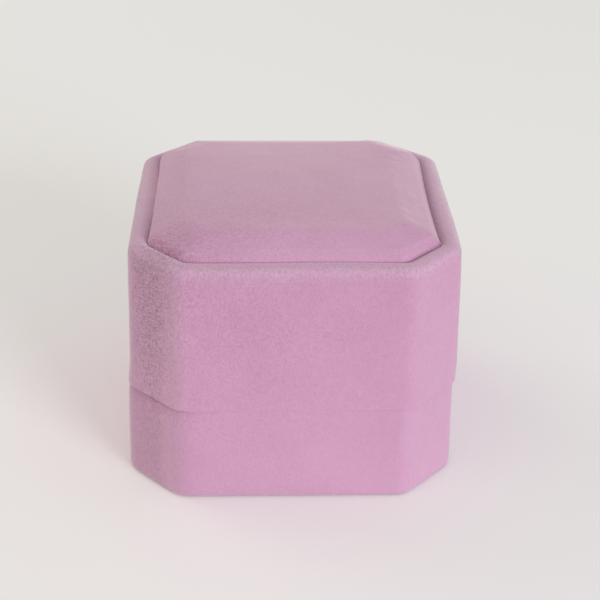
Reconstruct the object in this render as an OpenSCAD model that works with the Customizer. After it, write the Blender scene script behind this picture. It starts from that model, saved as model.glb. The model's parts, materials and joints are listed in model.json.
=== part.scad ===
// Octagonal velvet ring box with a lift-off lid.
// Millimetres, +Z up, front towards -Y. The origin is the middle of the underside.
//
// Every wall is an inset: its distance inward from the lid's outer face at the seam.
// Outlines that share an inset are the same line, so nested pieces meet face to face.

/* [Box] */
// Width of the lid at the seam
box_w = 60; // [52:0.5:90]
// Depth of the lid at the seam
box_d = 60; // [52:0.5:90]
// Leg of the corner chamfers, along either side
chamfer_leg = 9.3; // [8:0.1:14]
// Rounding of the upright edges
edge_r = 4; // [1:0.1:5]
// Tightest rounding of the upright edges inside the walls
inner_edge_r = 0.8; // [0.3:0.1:1]
// Height of the base, up to the seam
base_h = 18.7; // [15:0.1:26]
// Height of the lid, from the seam to the top of its rim
lid_h = 27.9; // [25:0.1:45]
// How far the rim stands back from the lid's face at the seam
rim_setback = 0.9; // [0:0.05:1.2]
// How far the base stands back from the lid at the seam
base_reveal = 0.2; // [0:0.05:0.6]
// How far the base spreads from the seam to the table
foot_flare = 0.5; // [0:0.05:1]

/* [Velvet] */
// Thickness of the velvet wrap
velvet_t = 0.8; // [0.5:0.05:1]
// Rounding of the velvet where the lid and the base meet
lip_r = 0.4; // [0.3:0.05:2]
// Rounding of the outer edge of the rim
rim_r = 1.5; // [0.8:0.05:2]
// Rounding of the foot
foot_r = 1.2; // [0.8:0.05:3]
// Height of the velvet turned up inside the lid
lid_hem = 9.8; // [8.5:0.1:12]
// Height of the velvet turned down inside the base
base_hem = 8; // [5:0.1:10]
// Width of the velvet turned under the foot
foot_hem = 7; // [4:0.1:12]
// Least rounding that a shell's edge has under the velvet
core_edge_r = 0.1; // [0.05:0.05:0.3]

/* [Shells] */
// Outer face of the lid to the inner face of its plastic wall
lid_wall = 3; // [2.6:0.1:4]
// Thickness of the lid's top plate
deck_t = 1.6; // [1:0.1:3]
// Thickness of the base's floor
floor_t = 2; // [1:0.1:4]

/* [Rim and top pad] */
// Width of the rim around the pad
rim_w = 3.3; // [2.8:0.1:5]
// Rounding of the rim's edge towards the pad
rim_inner_r = 1.3; // [0.8:0.05:1.5]
// Depth of the tray that holds the pad
tray_depth = 2.4; // [1.8:0.1:5]
// Gap between the rim and the pad
pad_gap = 0.3; // [0.1:0.05:1]
// Height of the pad's middle above the rim
pad_rise = 2.8; // [1.5:0.1:5]
// How much higher the pad's middle is than its shoulder
pad_crown = 0.9; // [0.2:0.1:1.2]
// Rounding of the pad's shoulder
pad_shoulder_r = 2; // [1:0.1:2.6]
// Least height of the foam's upright side, below its shoulder
pad_side_h = 0.1; // [0.05:0.05:0.4]
// Thickness of the pad's board
pad_card_t = 1; // [0.6:0.1:1.2]
// Width of the pad's velvet turned under its board
pad_hem = 4.5; // [2:0.1:8]

/* [Collar] */
// Sliding clearance between the lid and the collar
lid_clearance = 0.5; // [0.3:0.05:1]
// Height of the collar above the seam
collar_rise = 6.8; // [4:0.1:8]
// Thickness of the collar's board
collar_t = 1.6; // [1:0.1:2.5]
// Rounding of the velvet over the collar's top edge
collar_top_r = 1.2; // [0.8:0.05:1.3]

/* [Ring cushion] */
// How far the top of the rolls lies below the top of the collar
cushion_drop = 1.7; // [0.5:0.1:3]
// Gap between the foam block under the cushion and the collar
riser_gap = 0.3; // [0.1:0.05:1]
// Gap between the cushion and the collar
cushion_gap = 0.4; // [0.3:0.05:1]
// Thickness of the cushion's board
cushion_card_t = 1.2; // [0.8:0.1:2]
// Height of the rolls above their board
roll_h = 10.8; // [8:0.1:13]
// How much higher the middle of a roll is than its shoulder
roll_crown = 1; // [0.2:0.1:2]
// Rounding of a roll's shoulder
roll_shoulder_r = 3; // [1:0.1:4]
// Rounding of a roll's upright edges
roll_edge_r = 1.8; // [0.8:0.1:3]
// Thickness of the velvet on the pad and the rolls
cover_t = 0.6; // [0.4:0.05:0.8]
// Width of the slot that holds the ring
slot_w = 4.8; // [4.4:0.1:7]

/* [Lining] */
// Thickness of the board that lines the lid's walls
lining_card_t = 0.8; // [0.4:0.1:1.2]
// Thickness of the satin
satin_t = 0.3; // [0.2:0.05:0.5]
// Gap between the wall lining and the ceiling panel
ceiling_gap = 0.2; // [0.1:0.05:0.6]
// Thickness of the ceiling panel's board
ceiling_card_t = 1; // [0.6:0.1:2]
// Thickness of the ceiling panel's foam
ceiling_foam_t = 1.4; // [0.8:0.1:3]
// Rounding of the ceiling panel's lower edge
ceiling_r = 0.6; // [0.2:0.05:0.7]

/* [Hidden] */

VELVET = "#CB9BBB";
SATIN = "#E9D3DC";
PLASTIC = "#ECE9E4";
BOARD = "#B9AFA6";
FOAM = "#F3E7E2";

corner_steps = 3; // steps in the arc of an upright edge
bend_steps = 4; // steps in the arc of a rounded edge
crown_steps = 4; // rings in a crowned top

// Levels
rim_h = base_h + lid_h;
tray_floor = rim_h - tray_depth;
ceiling = tray_floor - deck_t;
lid_hem_top = base_h + lid_hem;
base_hem_foot = base_h - base_hem;
shell_floor = velvet_t + floor_t;
collar_top = base_h + collar_rise;
roll_top = collar_top - cushion_drop;
roll_foot = roll_top - roll_h;
riser_top = roll_foot - cushion_card_t;
pad_board_foot = tray_floor + cover_t;
pad_board_top = pad_board_foot + pad_card_t;
pad_top = rim_h + pad_rise;
pad_bend_r = min(pad_shoulder_r, pad_top - pad_crown - pad_board_top - pad_side_h);
ceiling_board_foot = ceiling - ceiling_card_t;
ceiling_foam_foot = ceiling_board_foot - ceiling_foam_t;
ceiling_foot = ceiling_foam_foot - satin_t;

// Insets, from outside to inside
lid_hem_face = lid_wall + velvet_t;
collar_face = lid_hem_face + lid_clearance;
base_wall = collar_face - velvet_t;
collar_board_face = collar_face + velvet_t;
collar_board_back = collar_board_face + collar_t;
collar_hollow = collar_board_back + velvet_t;
cushion_face = collar_hollow + cushion_gap;
tray_face = rim_setback + rim_w;
tray_shell_face = tray_face - velvet_t;
pad_face = tray_face + pad_gap;
pad_core_face = pad_face + cover_t;
lining_card_back = lid_wall + lining_card_t;
lining_face = lining_card_back + satin_t;
ceiling_face = lining_face + ceiling_gap;
ceiling_core_face = ceiling_face + satin_t;

// The octagon's sides, anticlockwise: [direction that the side faces, reach from the middle]
diagonal_reach = (box_w + box_d - 2 * chamfer_leg) / 2 / sqrt(2);
box_sides = [
  [0, box_w / 2], [45, diagonal_reach], [90, box_d / 2], [135, diagonal_reach],
  [180, box_w / 2], [225, diagonal_reach], [270, box_d / 2], [315, diagonal_reach]
];

// The back roll's sides. The front roll is the same one, turned round.
roll_sides = concat(
  [for (side = [0 : 4]) [box_sides[side][0], box_sides[side][1] - cushion_face]],
  [[270, -slot_w / 2]]
);
roll_middle = [0, (box_d / 2 - cushion_face + slot_w / 2) / 2];

// Outer face of the lid and of the base, as an inset at a height
function lid_face(z) = rim_setback * (z - base_h) / lid_h;
function base_face(z) = base_reveal - foot_flare * (1 - z / base_h);

// Rounding that is left of an edge, a skin's thickness below its face
function bend_r(r, skin) = max(r - skin, core_edge_r);

// Rounding of an upright edge at an inset from its face
function corner_r(r, inset) = max(r - inset, inner_edge_r);

// Closed outline around the given sides, moved inward by inset, with round corners
function outline(sides, inset, r) = [
  for (corner = [0 : len(sides) - 1], step = [0 : corner_steps])
    let (
      before = sides[(corner + len(sides) - 1) % len(sides)],
      after = sides[corner],
      turn = (after[0] - before[0] + 360) % 360,
      reach_before = before[1] - inset - r,
      reach_after = after[1] - inset - r,
      arc_x = (reach_before * sin(after[0]) - reach_after * sin(before[0])) / sin(turn),
      arc_y = (reach_after * cos(before[0]) - reach_before * cos(after[0])) / sin(turn),
      facing = before[0] + turn * step / corner_steps
    )
    [arc_x + r * cos(facing), arc_y + r * sin(facing)]
];

// Arc in a profile of [inset, height] points. Angle 0 faces outward and 90 faces up.
function bend(inset, height, r, from, to) = [
  for (step = [0 : bend_steps])
    let (a = from + (to - from) * step / bend_steps)
    [inset - r * cos(a), height + r * sin(a)]
];

// Crowned top of a profile: [inset, height, size about the middle], up to a small flat
function crown(inset, height, rise) = [
  for (step = [1 : crown_steps])
    let (size = 1 - step / (crown_steps + 1))
    [inset, height + rise * (1 - size * size), size]
];

function reversed(list) = [for (i = [len(list) - 1 : -1 : 0]) list[i]];

// The rounded edges that a wrap and its shell share: skin is 0 for the velvet's face,
// and the velvet's thickness for the shell's
function foot_bend(skin, from, to) =
  let (r = bend_r(foot_r, skin))
  bend(base_face(foot_r) + skin + r, skin + r, r, from, to);
function base_lip_bend(skin, from, to) =
  let (r = bend_r(lip_r, skin))
  bend(base_face(base_h - lip_r) + skin + r, base_h - skin - r, r, from, to);
function lid_lip_bend(skin, from, to) =
  let (r = bend_r(lip_r, skin))
  bend(lid_face(base_h + lip_r) + skin + r, base_h + skin + r, r, from, to);
function rim_bend(skin, from, to) =
  let (r = bend_r(rim_r, skin))
  bend(lid_face(rim_h - rim_r) + skin + r, rim_h - skin - r, r, from, to);
function rim_inner_bend(skin, from, to) =
  let (r = bend_r(rim_inner_r, skin))
  bend(tray_face - skin - r, rim_h - skin - r, r, from, to);

// Solid through a stack of outlines, one for each point of the profile.
// The profile runs up outside, inward over the top and down inside. A closed one makes a ring,
// and an open one is capped by its first outline below and its last one above.
module loft(sides, profile, edge_r, closed = false, middle = [0, 0]) {
  count = len(sides) * (corner_steps + 1);
  rings = len(profile);
  points = [
    for (p = profile)
      let (size = len(p) > 2 ? p[2] : 1)
      for (q = outline(sides, p[0], corner_r(edge_r, p[0])))
        [middle[0] + (q[0] - middle[0]) * size, middle[1] + (q[1] - middle[1]) * size, p[1]]
  ];
  walls = [
    for (ring = [0 : closed ? rings - 1 : rings - 2], i = [0 : count - 1])
      let (
        above = (ring + 1) % rings,
        next = (i + 1) % count
      )
      [ring * count + i, above * count + i, above * count + next, ring * count + next]
  ];
  caps = closed ? [] : [
    [for (i = [0 : count - 1]) i],
    [for (i = [count - 1 : -1 : 0]) (rings - 1) * count + i]
  ];
  polyhedron(points, concat(walls, caps), convexity = 8);
}

// Outline of the box at an inset, as a flat shape
module box_outline(inset) {
  polygon(outline(box_sides, inset, corner_r(edge_r, inset)));
}

// Flat board or block between two levels
module slab(inset, low, high) {
  translate([0, 0, low])
    linear_extrude(high - low)
      box_outline(inset);
}

// Upright band between two insets and two levels
module sleeve(outer, inner, low, high) {
  translate([0, 0, low])
    linear_extrude(high - low)
      difference() {
        box_outline(outer);
        box_outline(inner);
      }
}

// ---------- Base ----------

module bottom_velvet() {
  color(VELVET)
    slab(foot_hem, 0, velvet_t);
}

module base_shell() {
  color(PLASTIC)
    loft(
      box_sides,
      concat(
        foot_bend(velvet_t, -90, 0),
        base_lip_bend(velvet_t, 0, 90),
        [[base_wall, base_h - velvet_t], [base_wall, shell_floor]]
      ),
      edge_r
    );
}

module base_velvet() {
  color(VELVET)
    loft(
      box_sides,
      concat(
        [[foot_hem, 0]],
        foot_bend(0, -90, 0),
        base_lip_bend(0, 0, 90),
        [[collar_face, base_h], [collar_face, base_hem_foot]],
        [[base_wall, base_hem_foot], [base_wall, base_h - velvet_t]],
        base_lip_bend(velvet_t, 90, 0),
        foot_bend(velvet_t, 0, -90),
        [[foot_hem, velvet_t]]
      ),
      edge_r,
      closed = true
    );
}

module collar_board() {
  color(BOARD)
    sleeve(collar_board_face, collar_board_back, shell_floor, collar_top - velvet_t);
}

module collar_velvet() {
  color(VELVET)
    loft(
      box_sides,
      concat(
        [[collar_face, base_hem_foot]],
        bend(collar_face + collar_top_r, collar_top - collar_top_r, collar_top_r, 0, 90),
        bend(collar_hollow - collar_top_r, collar_top - collar_top_r, collar_top_r, 90, 180),
        [[collar_hollow, riser_top], [collar_board_back, riser_top]],
        [[collar_board_back, collar_top - velvet_t], [collar_board_face, collar_top - velvet_t]],
        [[collar_board_face, base_hem_foot]]
      ),
      edge_r,
      closed = true
    );
}

module riser_foam() {
  color(FOAM)
    slab(collar_board_back + riser_gap, shell_floor, riser_top);
}

// ---------- Ring cushion ----------

module cushion_card() {
  color(BOARD)
    slab(cushion_face, riser_top, roll_foot);
}

// Profile of a roll, from its foot to its crown, inside a cover of thickness t
function roll_profile(t) = concat(
  [[t, roll_foot]],
  bend(
    roll_shoulder_r, roll_top - roll_crown - roll_shoulder_r,
    roll_shoulder_r - t, 0, 90
  ),
  crown(roll_shoulder_r, roll_top - roll_crown - t, roll_crown)
);

module roll_foam() {
  color(FOAM)
    loft(roll_sides, roll_profile(cover_t), roll_edge_r, middle = roll_middle);
}

module roll_velvet() {
  color(VELVET)
    loft(
      roll_sides,
      concat(reversed(roll_profile(cover_t)), roll_profile(0)),
      roll_edge_r,
      middle = roll_middle
    );
}

module front_roll_foam() {
  rotate(180)
    roll_foam();
}

module front_roll_velvet() {
  rotate(180)
    roll_velvet();
}

module back_roll_foam() {
  roll_foam();
}

module back_roll_velvet() {
  roll_velvet();
}

module slot_strip() {
  color(VELVET)
    translate([cushion_face - box_w / 2, -slot_w / 2, roll_foot])
      cube([box_w - 2 * cushion_face, slot_w, cover_t]);
}

// ---------- Lid ----------

module lid_shell() {
  color(PLASTIC)
    loft(
      box_sides,
      concat(
        [[lid_wall, ceiling], [lid_wall, base_h + velvet_t]],
        lid_lip_bend(velvet_t, -90, 0),
        rim_bend(velvet_t, 0, 90),
        rim_inner_bend(velvet_t, 90, 180),
        [[tray_shell_face, tray_floor]]
      ),
      edge_r
    );
}

module lid_velvet() {
  color(VELVET)
    loft(
      box_sides,
      concat(
        [[lid_hem_face, lid_hem_top]],
        bend(lid_hem_face - velvet_t, base_h + velvet_t, velvet_t, 180, 270),
        lid_lip_bend(0, -90, 0),
        rim_bend(0, 0, 90),
        rim_inner_bend(0, 90, 180),
        [[tray_face, tray_floor], [tray_shell_face, tray_floor]],
        rim_inner_bend(velvet_t, 180, 90),
        rim_bend(velvet_t, 90, 0),
        lid_lip_bend(velvet_t, 0, -90),
        [[lid_wall, base_h + velvet_t], [lid_wall, lid_hem_top]]
      ),
      edge_r,
      closed = true
    );
}

module lining_card() {
  color(BOARD)
    sleeve(lid_wall, lining_card_back, lid_hem_top, ceiling);
}

module lining_satin() {
  color(SATIN)
    sleeve(lining_card_back, lining_face, lid_hem_top, ceiling);
}

module ceiling_card() {
  color(BOARD)
    slab(ceiling_core_face, ceiling_board_foot, ceiling);
}

module ceiling_foam() {
  color(FOAM)
    slab(ceiling_core_face, ceiling_foam_foot, ceiling_board_foot);
}

module ceiling_satin() {
  color(SATIN)
    loft(
      box_sides,
      concat(
        bend(ceiling_face + ceiling_r, ceiling_foot + ceiling_r, ceiling_r, -90, 0),
        [[ceiling_face, ceiling], [ceiling_core_face, ceiling]],
        [[ceiling_core_face, ceiling_foam_foot]]
      ),
      edge_r
    );
}

// ---------- Top pad ----------

module top_pad_card() {
  color(BOARD)
    slab(pad_core_face, pad_board_foot, pad_board_top);
}

// Shoulder and crown of the pad, inside a cover of thickness t
function pad_profile(t) = concat(
  bend(pad_face + pad_bend_r, pad_top - pad_crown - pad_bend_r, pad_bend_r - t, 0, 90),
  crown(pad_face + pad_bend_r, pad_top - pad_crown - t, pad_crown)
);

module top_pad_foam() {
  color(FOAM)
    loft(box_sides, concat([[pad_core_face, pad_board_top]], pad_profile(cover_t)), edge_r);
}

module top_pad_velvet() {
  color(VELVET)
    loft(
      box_sides,
      concat(
        reversed(pad_profile(cover_t)),
        [[pad_core_face, pad_board_foot], [pad_face + pad_hem, pad_board_foot]],
        [[pad_face + pad_hem, tray_floor], [pad_face, tray_floor]],
        pad_profile(0)
      ),
      edge_r
    );
}

bottom_velvet();
base_shell();
base_velvet();
collar_board();
collar_velvet();
riser_foam();
cushion_card();
front_roll_foam();
front_roll_velvet();
back_roll_foam();
back_roll_velvet();
slot_strip();
lid_shell();
lid_velvet();
lining_card();
lining_satin();
ceiling_card();
ceiling_foam();
ceiling_satin();
top_pad_card();
top_pad_foam();
top_pad_velvet();
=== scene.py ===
# %% [markdown]
# # An eight-sided velvet ring box
#
# This lesson dresses a ring box that was built as solids: a base with a collar and a slotted ring
# cushion, and a lid that lifts off. The solids already have the right size, so nothing is moved
# or scaled here. What is missing is everything that makes velvet look like velvet: the soft
# rounded edges, the slightly uneven lie of a cloth that was glued on by hand, the puffed pad, and
# a short pile that turns grey at its edges and pink where it faces the light.

# %% Load the solid box
import json
import math

import bmesh
import bpy
import numpy as np
from mathutils import Matrix, Vector, noise
from mathutils.bvhtree import BVHTree


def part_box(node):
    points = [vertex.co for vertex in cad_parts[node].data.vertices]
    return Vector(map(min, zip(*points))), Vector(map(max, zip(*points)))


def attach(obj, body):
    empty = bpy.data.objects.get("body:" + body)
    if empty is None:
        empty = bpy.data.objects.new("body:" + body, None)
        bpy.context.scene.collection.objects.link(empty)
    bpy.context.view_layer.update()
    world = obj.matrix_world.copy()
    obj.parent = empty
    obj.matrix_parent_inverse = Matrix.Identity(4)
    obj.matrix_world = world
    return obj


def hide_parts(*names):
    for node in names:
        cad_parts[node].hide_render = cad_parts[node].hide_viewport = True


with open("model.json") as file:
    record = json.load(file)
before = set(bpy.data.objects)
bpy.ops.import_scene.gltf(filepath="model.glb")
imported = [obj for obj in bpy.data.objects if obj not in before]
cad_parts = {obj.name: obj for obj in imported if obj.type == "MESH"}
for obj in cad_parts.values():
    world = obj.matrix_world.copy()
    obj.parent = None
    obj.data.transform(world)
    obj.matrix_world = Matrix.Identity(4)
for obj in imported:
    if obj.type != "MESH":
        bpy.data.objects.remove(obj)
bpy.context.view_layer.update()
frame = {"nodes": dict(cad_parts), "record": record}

# %% [markdown]
# ## Units
#
# Blender works in metres here, and a ring box is only 60 mm wide. Sizes are easier to read in
# millimetres, so every size below is in millimetres, and `MM` turns it into metres at the moment
# that a mesh is made. Levels are taken from the solids, so that each cloth lies where its solid
# lies.

# %% Millimetres
MM = 0.001


def level(node, top):
    """Height of a solid's underside or top, in millimetres."""
    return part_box(node)[1 if top else 0].z / MM


SEAM = level("lid_velvet", False)
RIM = level("lid_velvet", True)
PAD_TOP = level("top_pad_velvet", True)
TRAY_FLOOR = level("top_pad_velvet", False)
COLLAR_TOP = level("collar_velvet", True)
HEM_FOOT = level("collar_velvet", False)
CUSHION_FOOT = level("cushion_card", False)
ROLL_FOOT = level("front_roll_velvet", False)
ROLL_TOP = level("front_roll_velvet", True)
LINING_FOOT = level("lining_satin", False)
CEILING = level("lining_satin", True)
CEILING_FOOT = level("ceiling_satin", False)
print("seam", round(SEAM, 2), "rim", round(RIM, 2), "pad", round(PAD_TOP, 2), "mm")

# %% [markdown]
# ## The camera
#
# The camera comes first, because every later choice is judged through it. It stands in front of
# the box at the height of a person who sits at a table, looks down by almost thirty degrees, and
# is turned and tilted by a degree or two, as a camera in the hand is.

# %% Camera
EYE = Vector((-6.55, -225.2, 149.9)) * MM
TURN = math.radians(2.2)
LOOK_DOWN = math.radians(29.07)
LEAN = math.radians(0.92)
SENSOR = 36.0
LENS = 79.5


def camera_frame(turn, look_down, lean):
    """Rotation of a camera that looks along +Y, then turned right, tipped down and leant."""
    ahead = Vector((
        math.sin(turn) * math.cos(look_down),
        math.cos(turn) * math.cos(look_down),
        -math.sin(look_down),
    ))
    right = Vector((math.cos(turn), -math.sin(turn), 0.0))
    up = right.cross(ahead)
    leant_right = right * math.cos(lean) + up * math.sin(lean)
    leant_up = up * math.cos(lean) - right * math.sin(lean)
    return Matrix((leant_right, leant_up, -ahead)).transposed()


lens = bpy.data.cameras.new("table_camera")
lens.lens = LENS
lens.sensor_width = SENSOR
camera = bpy.data.objects.new("table_camera", lens)
camera.matrix_world = camera_frame(TURN, LOOK_DOWN, LEAN).to_4x4()
camera.location = EYE
bpy.context.scene.collection.objects.link(camera)
bpy.context.scene.camera = camera
print("camera lens", lens.lens, "mm")

# %% [markdown]
# ## The eight-sided outline
#
# Every cloth on this box follows the same octagon: a square with its corners cut off. A wall
# further inside is the same octagon with every side moved inward, and that distance is called
# the inset. Two neighbouring sides meet in a point, and the point is replaced by an arc of an
# eighth of a turn. Sides and arcs always get the same number of points, so outlines of any
# inset can be joined by quads.

# %% Outline of the box at an inset
BOX_HALF = 30.0
CHAMFER_LEG = 9.3
EDGE_ROUND = 4.0
INNER_ROUND = 0.9
SHARPENING = 0.45
CORNER_STEPS = 6
SIDE_STEPS = 36
CHAMFER_STEPS = 10
EIGHTH = math.radians(45)


def side(number):
    """Direction that a side of the octagon faces, its reach from the middle and its steps."""
    chamfer = number % 2 == 1
    reach = math.sqrt(2) * (BOX_HALF - CHAMFER_LEG / 2) if chamfer else BOX_HALF
    return number * EIGHTH, reach, CHAMFER_STEPS if chamfer else SIDE_STEPS


def corner_arc(before, after, rounding):
    """Points of the rounded corner between two sides, given as (direction, reach)."""
    (turn_before, reach_before), (turn_after, reach_after) = before, after
    turn = (turn_after - turn_before) % (2 * math.pi)
    a, b = reach_before - rounding, reach_after - rounding
    middle = np.array([
        a * math.sin(turn_after) - b * math.sin(turn_before),
        b * math.cos(turn_before) - a * math.cos(turn_after),
    ]) / math.sin(turn)
    turns = np.linspace(turn_before, turn_before + turn, CORNER_STEPS + 1)
    return middle + rounding * np.stack([np.cos(turns), np.sin(turns)], axis=1)


def ring_through(arcs, steps):
    """Closed ring through corner arcs, with so many steps along the side after each arc."""
    points = []
    for number, arc in enumerate(arcs):
        points.extend(arc)
        ahead = arcs[(number + 1) % len(arcs)][0]
        count = steps[number]
        points.extend(arc[-1] + (ahead - arc[-1]) * step / count for step in range(1, count))
    return np.array(points)


def octagon(inset, rounding=None):
    """Closed outline of the box, moved inward by inset, in millimetres."""
    if rounding is None:
        rounding = max(EDGE_ROUND - SHARPENING * inset, INNER_ROUND)
    sides = [(side(number)[0], side(number)[1] - inset) for number in range(8)]
    arcs = [corner_arc(sides[number - 1], sides[number], rounding) for number in range(8)]
    return ring_through(arcs, [side(number)[2] for number in range(8)])


AROUND = len(octagon(0.0))
print("points in an outline:", AROUND)

# %% [markdown]
# ## Profiles
#
# Cut the box from top to bottom and the edge of the cut is a profile: how far in the cloth is, at
# each height. A wrap is that profile carried round the octagon. A profile is written as straight
# runs and bends, and both are filled with points of about the same spacing, so that the cloth can
# take a crease anywhere.

# %% Runs and bends of a profile
SPACING = 0.9
BEND_STEPS = 6
PILLOW_STEPS = 8
SAME_POINT = 0.02


def run(*stops, spacing=SPACING):
    """Straight stretches through the given (inset, height) stops."""
    points = [stops[0]]
    for (i0, z0), (i1, z1) in zip(stops, stops[1:]):
        steps = max(1, round(math.hypot(i1 - i0, z1 - z0) / spacing))
        points.extend((i0 + (i1 - i0) * s / steps, z0 + (z1 - z0) * s / steps)
                      for s in range(1, steps + 1))
    return points


def bend(inset, height, rounding, start, stop, steps=BEND_STEPS):
    """Arc around (inset, height). 0 degrees faces outward, and 90 faces up."""
    turns = np.radians(np.linspace(start, stop, steps + 1))
    return [(inset - rounding * math.cos(t), height + rounding * math.sin(t)) for t in turns]


def pillow(inset, height, wide, high, fullness, steps=PILLOW_STEPS):
    """Shoulder of a pillow: a quarter of a superellipse, wide inward and high upward."""
    points = []
    for t in np.linspace(0, math.pi / 2, steps + 1):
        inward = 1 - math.cos(t) ** (2 / fullness) if t < math.pi / 2 else 1.0
        points.append((inset + wide * inward, height + high * math.sin(t) ** (2 / fullness)))
    return points


def joined(*pieces):
    """One profile from several, without points that fall on each other."""
    points = [p for piece in pieces for p in piece]
    kept = [points[0]]
    for p in points[1:]:
        if math.dist(p, kept[-1]) > SAME_POINT:
            kept.append(p)
    return kept


def rows_of(profile, shift=(0.0, 0.0), outline=octagon, share=None):
    """Carries a profile round an outline: an array of rows, outline points and x, y, z.

    share(height) says how much of the shift a row takes; without it, every row takes all of it.
    """
    rows = []
    for inset, height in profile:
        taken = share(height) if share else 1.0
        ring = outline(inset) + np.array(shift) * taken
        rows.append(np.column_stack([ring, np.full(len(ring), height)]))
    return np.array(rows)


print("points in a bend:", BEND_STEPS + 1, "and in a pillow's shoulder:", PILLOW_STEPS + 1)


# %% [markdown]
# ## Cloth that was laid by hand
#
# Glued velvet is never a perfect plane. It is a little fuller in the middle of a side, it has
# slow waves a centimetre long, and its pile stands up in small tufts. All of it is far less than
# a millimetre, but light from the side shows it. Each point is pushed along its normal by a sum
# of noises with different wavelengths.

# %% Relief of a laid cloth
WAVES = ((15.0, 0.10), (5.0, 0.045), (1.9, 0.022))
SEED_STEP = Vector((7.31, 3.17, 5.93))
TINY = 1e-9


def waviness(point, seed, waves=WAVES):
    """Height of the cloth above its smooth shape, in millimetres, at a point in millimetres."""
    shift = seed * SEED_STEP
    return sum(high * noise.noise(Vector(point) / long + shift) for long, high in waves)


def row_normals(rows, closed):
    """Outward normals of a stack of outlines."""
    around = np.roll(rows, -1, axis=1) - np.roll(rows, 1, axis=1)
    if closed:
        upward = np.roll(rows, -1, axis=0) - np.roll(rows, 1, axis=0)
    else:
        upward = np.gradient(rows, axis=0)
    normals = np.cross(around, upward)
    return normals / np.maximum(np.linalg.norm(normals, axis=2, keepdims=True), TINY)


print("waves of a laid cloth, as length and height in mm:", WAVES)


# %% [markdown]
# ## From rows to a mesh
#
# Rows of points become quads with bmesh. A wrap closes on itself both ways, round the box and
# through its own thickness, so it is a solid sheet of cloth without loose edges. A pad is open at
# its two ends and gets a cap there. Each mesh is shaded smooth.

# %% Rows of points to a mesh
def new_piece(name, bm):
    """A shown object from a bmesh that is in millimetres."""
    bmesh.ops.recalc_face_normals(bm, faces=bm.faces)
    bmesh.ops.scale(bm, vec=(MM, MM, MM), verts=bm.verts)
    mesh = bpy.data.meshes.new(name)
    bm.to_mesh(mesh)
    bm.free()
    mesh.shade_smooth()
    piece = bpy.data.objects.new(name, mesh)
    bpy.context.scene.collection.objects.link(piece)
    return piece


def cloth_mesh(rows, closed=True):
    """Quads between rows of points, and a cap at each end where the rows don't close."""
    bm = bmesh.new()
    verts = [[bm.verts.new(p) for p in row] for row in rows]
    count = len(verts[0])
    for low, high in zip(verts, verts[1:] + ([verts[0]] if closed else [])):
        for i in range(count):
            j = (i + 1) % count
            bm.faces.new((low[i], low[j], high[j], high[i]))
    if not closed:
        bm.faces.new(reversed(verts[0]))
        bm.faces.new(verts[-1])
    return bm


def evaluated_mesh(piece):
    view = bpy.context.evaluated_depsgraph_get()
    return bpy.data.meshes.new_from_object(piece.evaluated_get(view))


def soften(piece, applied=False):
    """One level of subdivision, the same in the view and in the render."""
    subdivision = piece.modifiers.new("soften", "SUBSURF")
    subdivision.levels = 1
    subdivision.render_levels = 1
    if applied:
        mesh = evaluated_mesh(piece)
        piece.modifiers.remove(subdivision)
        piece.data = mesh


def points_of(mesh):
    flat = np.empty(len(mesh.vertices) * 3)
    mesh.vertices.foreach_get("co", flat)
    return flat.reshape(-1, 3)


def normals_of(mesh):
    flat = np.empty(len(mesh.vertices) * 3)
    mesh.vertices.foreach_get("normal", flat)
    return flat.reshape(-1, 3)


def set_points(mesh, points):
    mesh.vertices.foreach_set("co", points.ravel())
    mesh.update()


def paint(piece, name, values):
    """Stores a number from 0 to 1 at each point, for a material to read."""
    attribute = piece.data.attributes.new(name, "FLOAT", "POINT")
    attribute.data.foreach_set("value", np.asarray(values, dtype=np.float32).ravel())


# %% [markdown]
# ## Effects that several finishes share
#
# A shader node group is a small machine with named inputs and outputs. Six effects are used by
# more than one finish here: the grain of the pile, its curls, the patches where a hand has stroked
# it one way or the other, the painted light and shade on the pile, its grey tips with a painted
# sheen, and the threads of a woven cloth.
# A point goes into a group in millimetres, so that its sizes can be read as real sizes.

# %% Building node groups
def group_with(name, inputs, outputs):
    """An empty node group. inputs are (name, default), and outputs are names."""
    group = bpy.data.node_groups.new(name, "ShaderNodeTree")
    for socket, default in inputs:
        kind = "NodeSocketVector" if socket == "Point" else "NodeSocketFloat"
        made = group.interface.new_socket(socket, in_out="INPUT", socket_type=kind)
        if default is not None:
            made.default_value = default
    for socket in outputs:
        group.interface.new_socket(socket, in_out="OUTPUT", socket_type="NodeSocketFloat")
    start = group.nodes.new("NodeGroupInput")
    end = group.nodes.new("NodeGroupOutput")
    return group, start, end


def introduce(group):
    """Prints what a finished group takes in and puts out."""
    print(group.name, [socket.name for socket in group.interface.items_tree])


def feed(tree, value, socket):
    """Links a socket, or sets a plain number."""
    if hasattr(value, "is_output"):
        tree.links.new(value, socket)
    else:
        socket.default_value = value


def math_node(tree, operation, a, b=None, clamp=False):
    """A Math node fed by sockets or plain numbers. Returns its output."""
    node = tree.nodes.new("ShaderNodeMath")
    node.operation = operation
    node.use_clamp = clamp
    feed(tree, a, node.inputs[0])
    if b is not None:
        feed(tree, b, node.inputs[1])
    return node.outputs[0]


def remapped(tree, value, low, high, to_low=0.0, to_high=1.0):
    """Map Range from [low, high] to [to_low, to_high], clamped."""
    node = tree.nodes.new("ShaderNodeMapRange")
    for name, number in (("Value", value), ("From Min", low), ("From Max", high),
                         ("To Min", to_low), ("To Max", to_high)):
        feed(tree, number, node.inputs[name])
    return node.outputs["Result"]


def scaled_point(tree, point, scale):
    node = tree.nodes.new("ShaderNodeVectorMath")
    node.operation = "SCALE"
    tree.links.new(point, node.inputs[0])
    feed(tree, scale, node.inputs["Scale"])
    return node.outputs[0]


def off_centre(tree, value, share):
    """A number around a half, turned into one around zero and scaled."""
    return math_node(tree, "MULTIPLY", math_node(tree, "SUBTRACT", value, 0.5), share)


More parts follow.
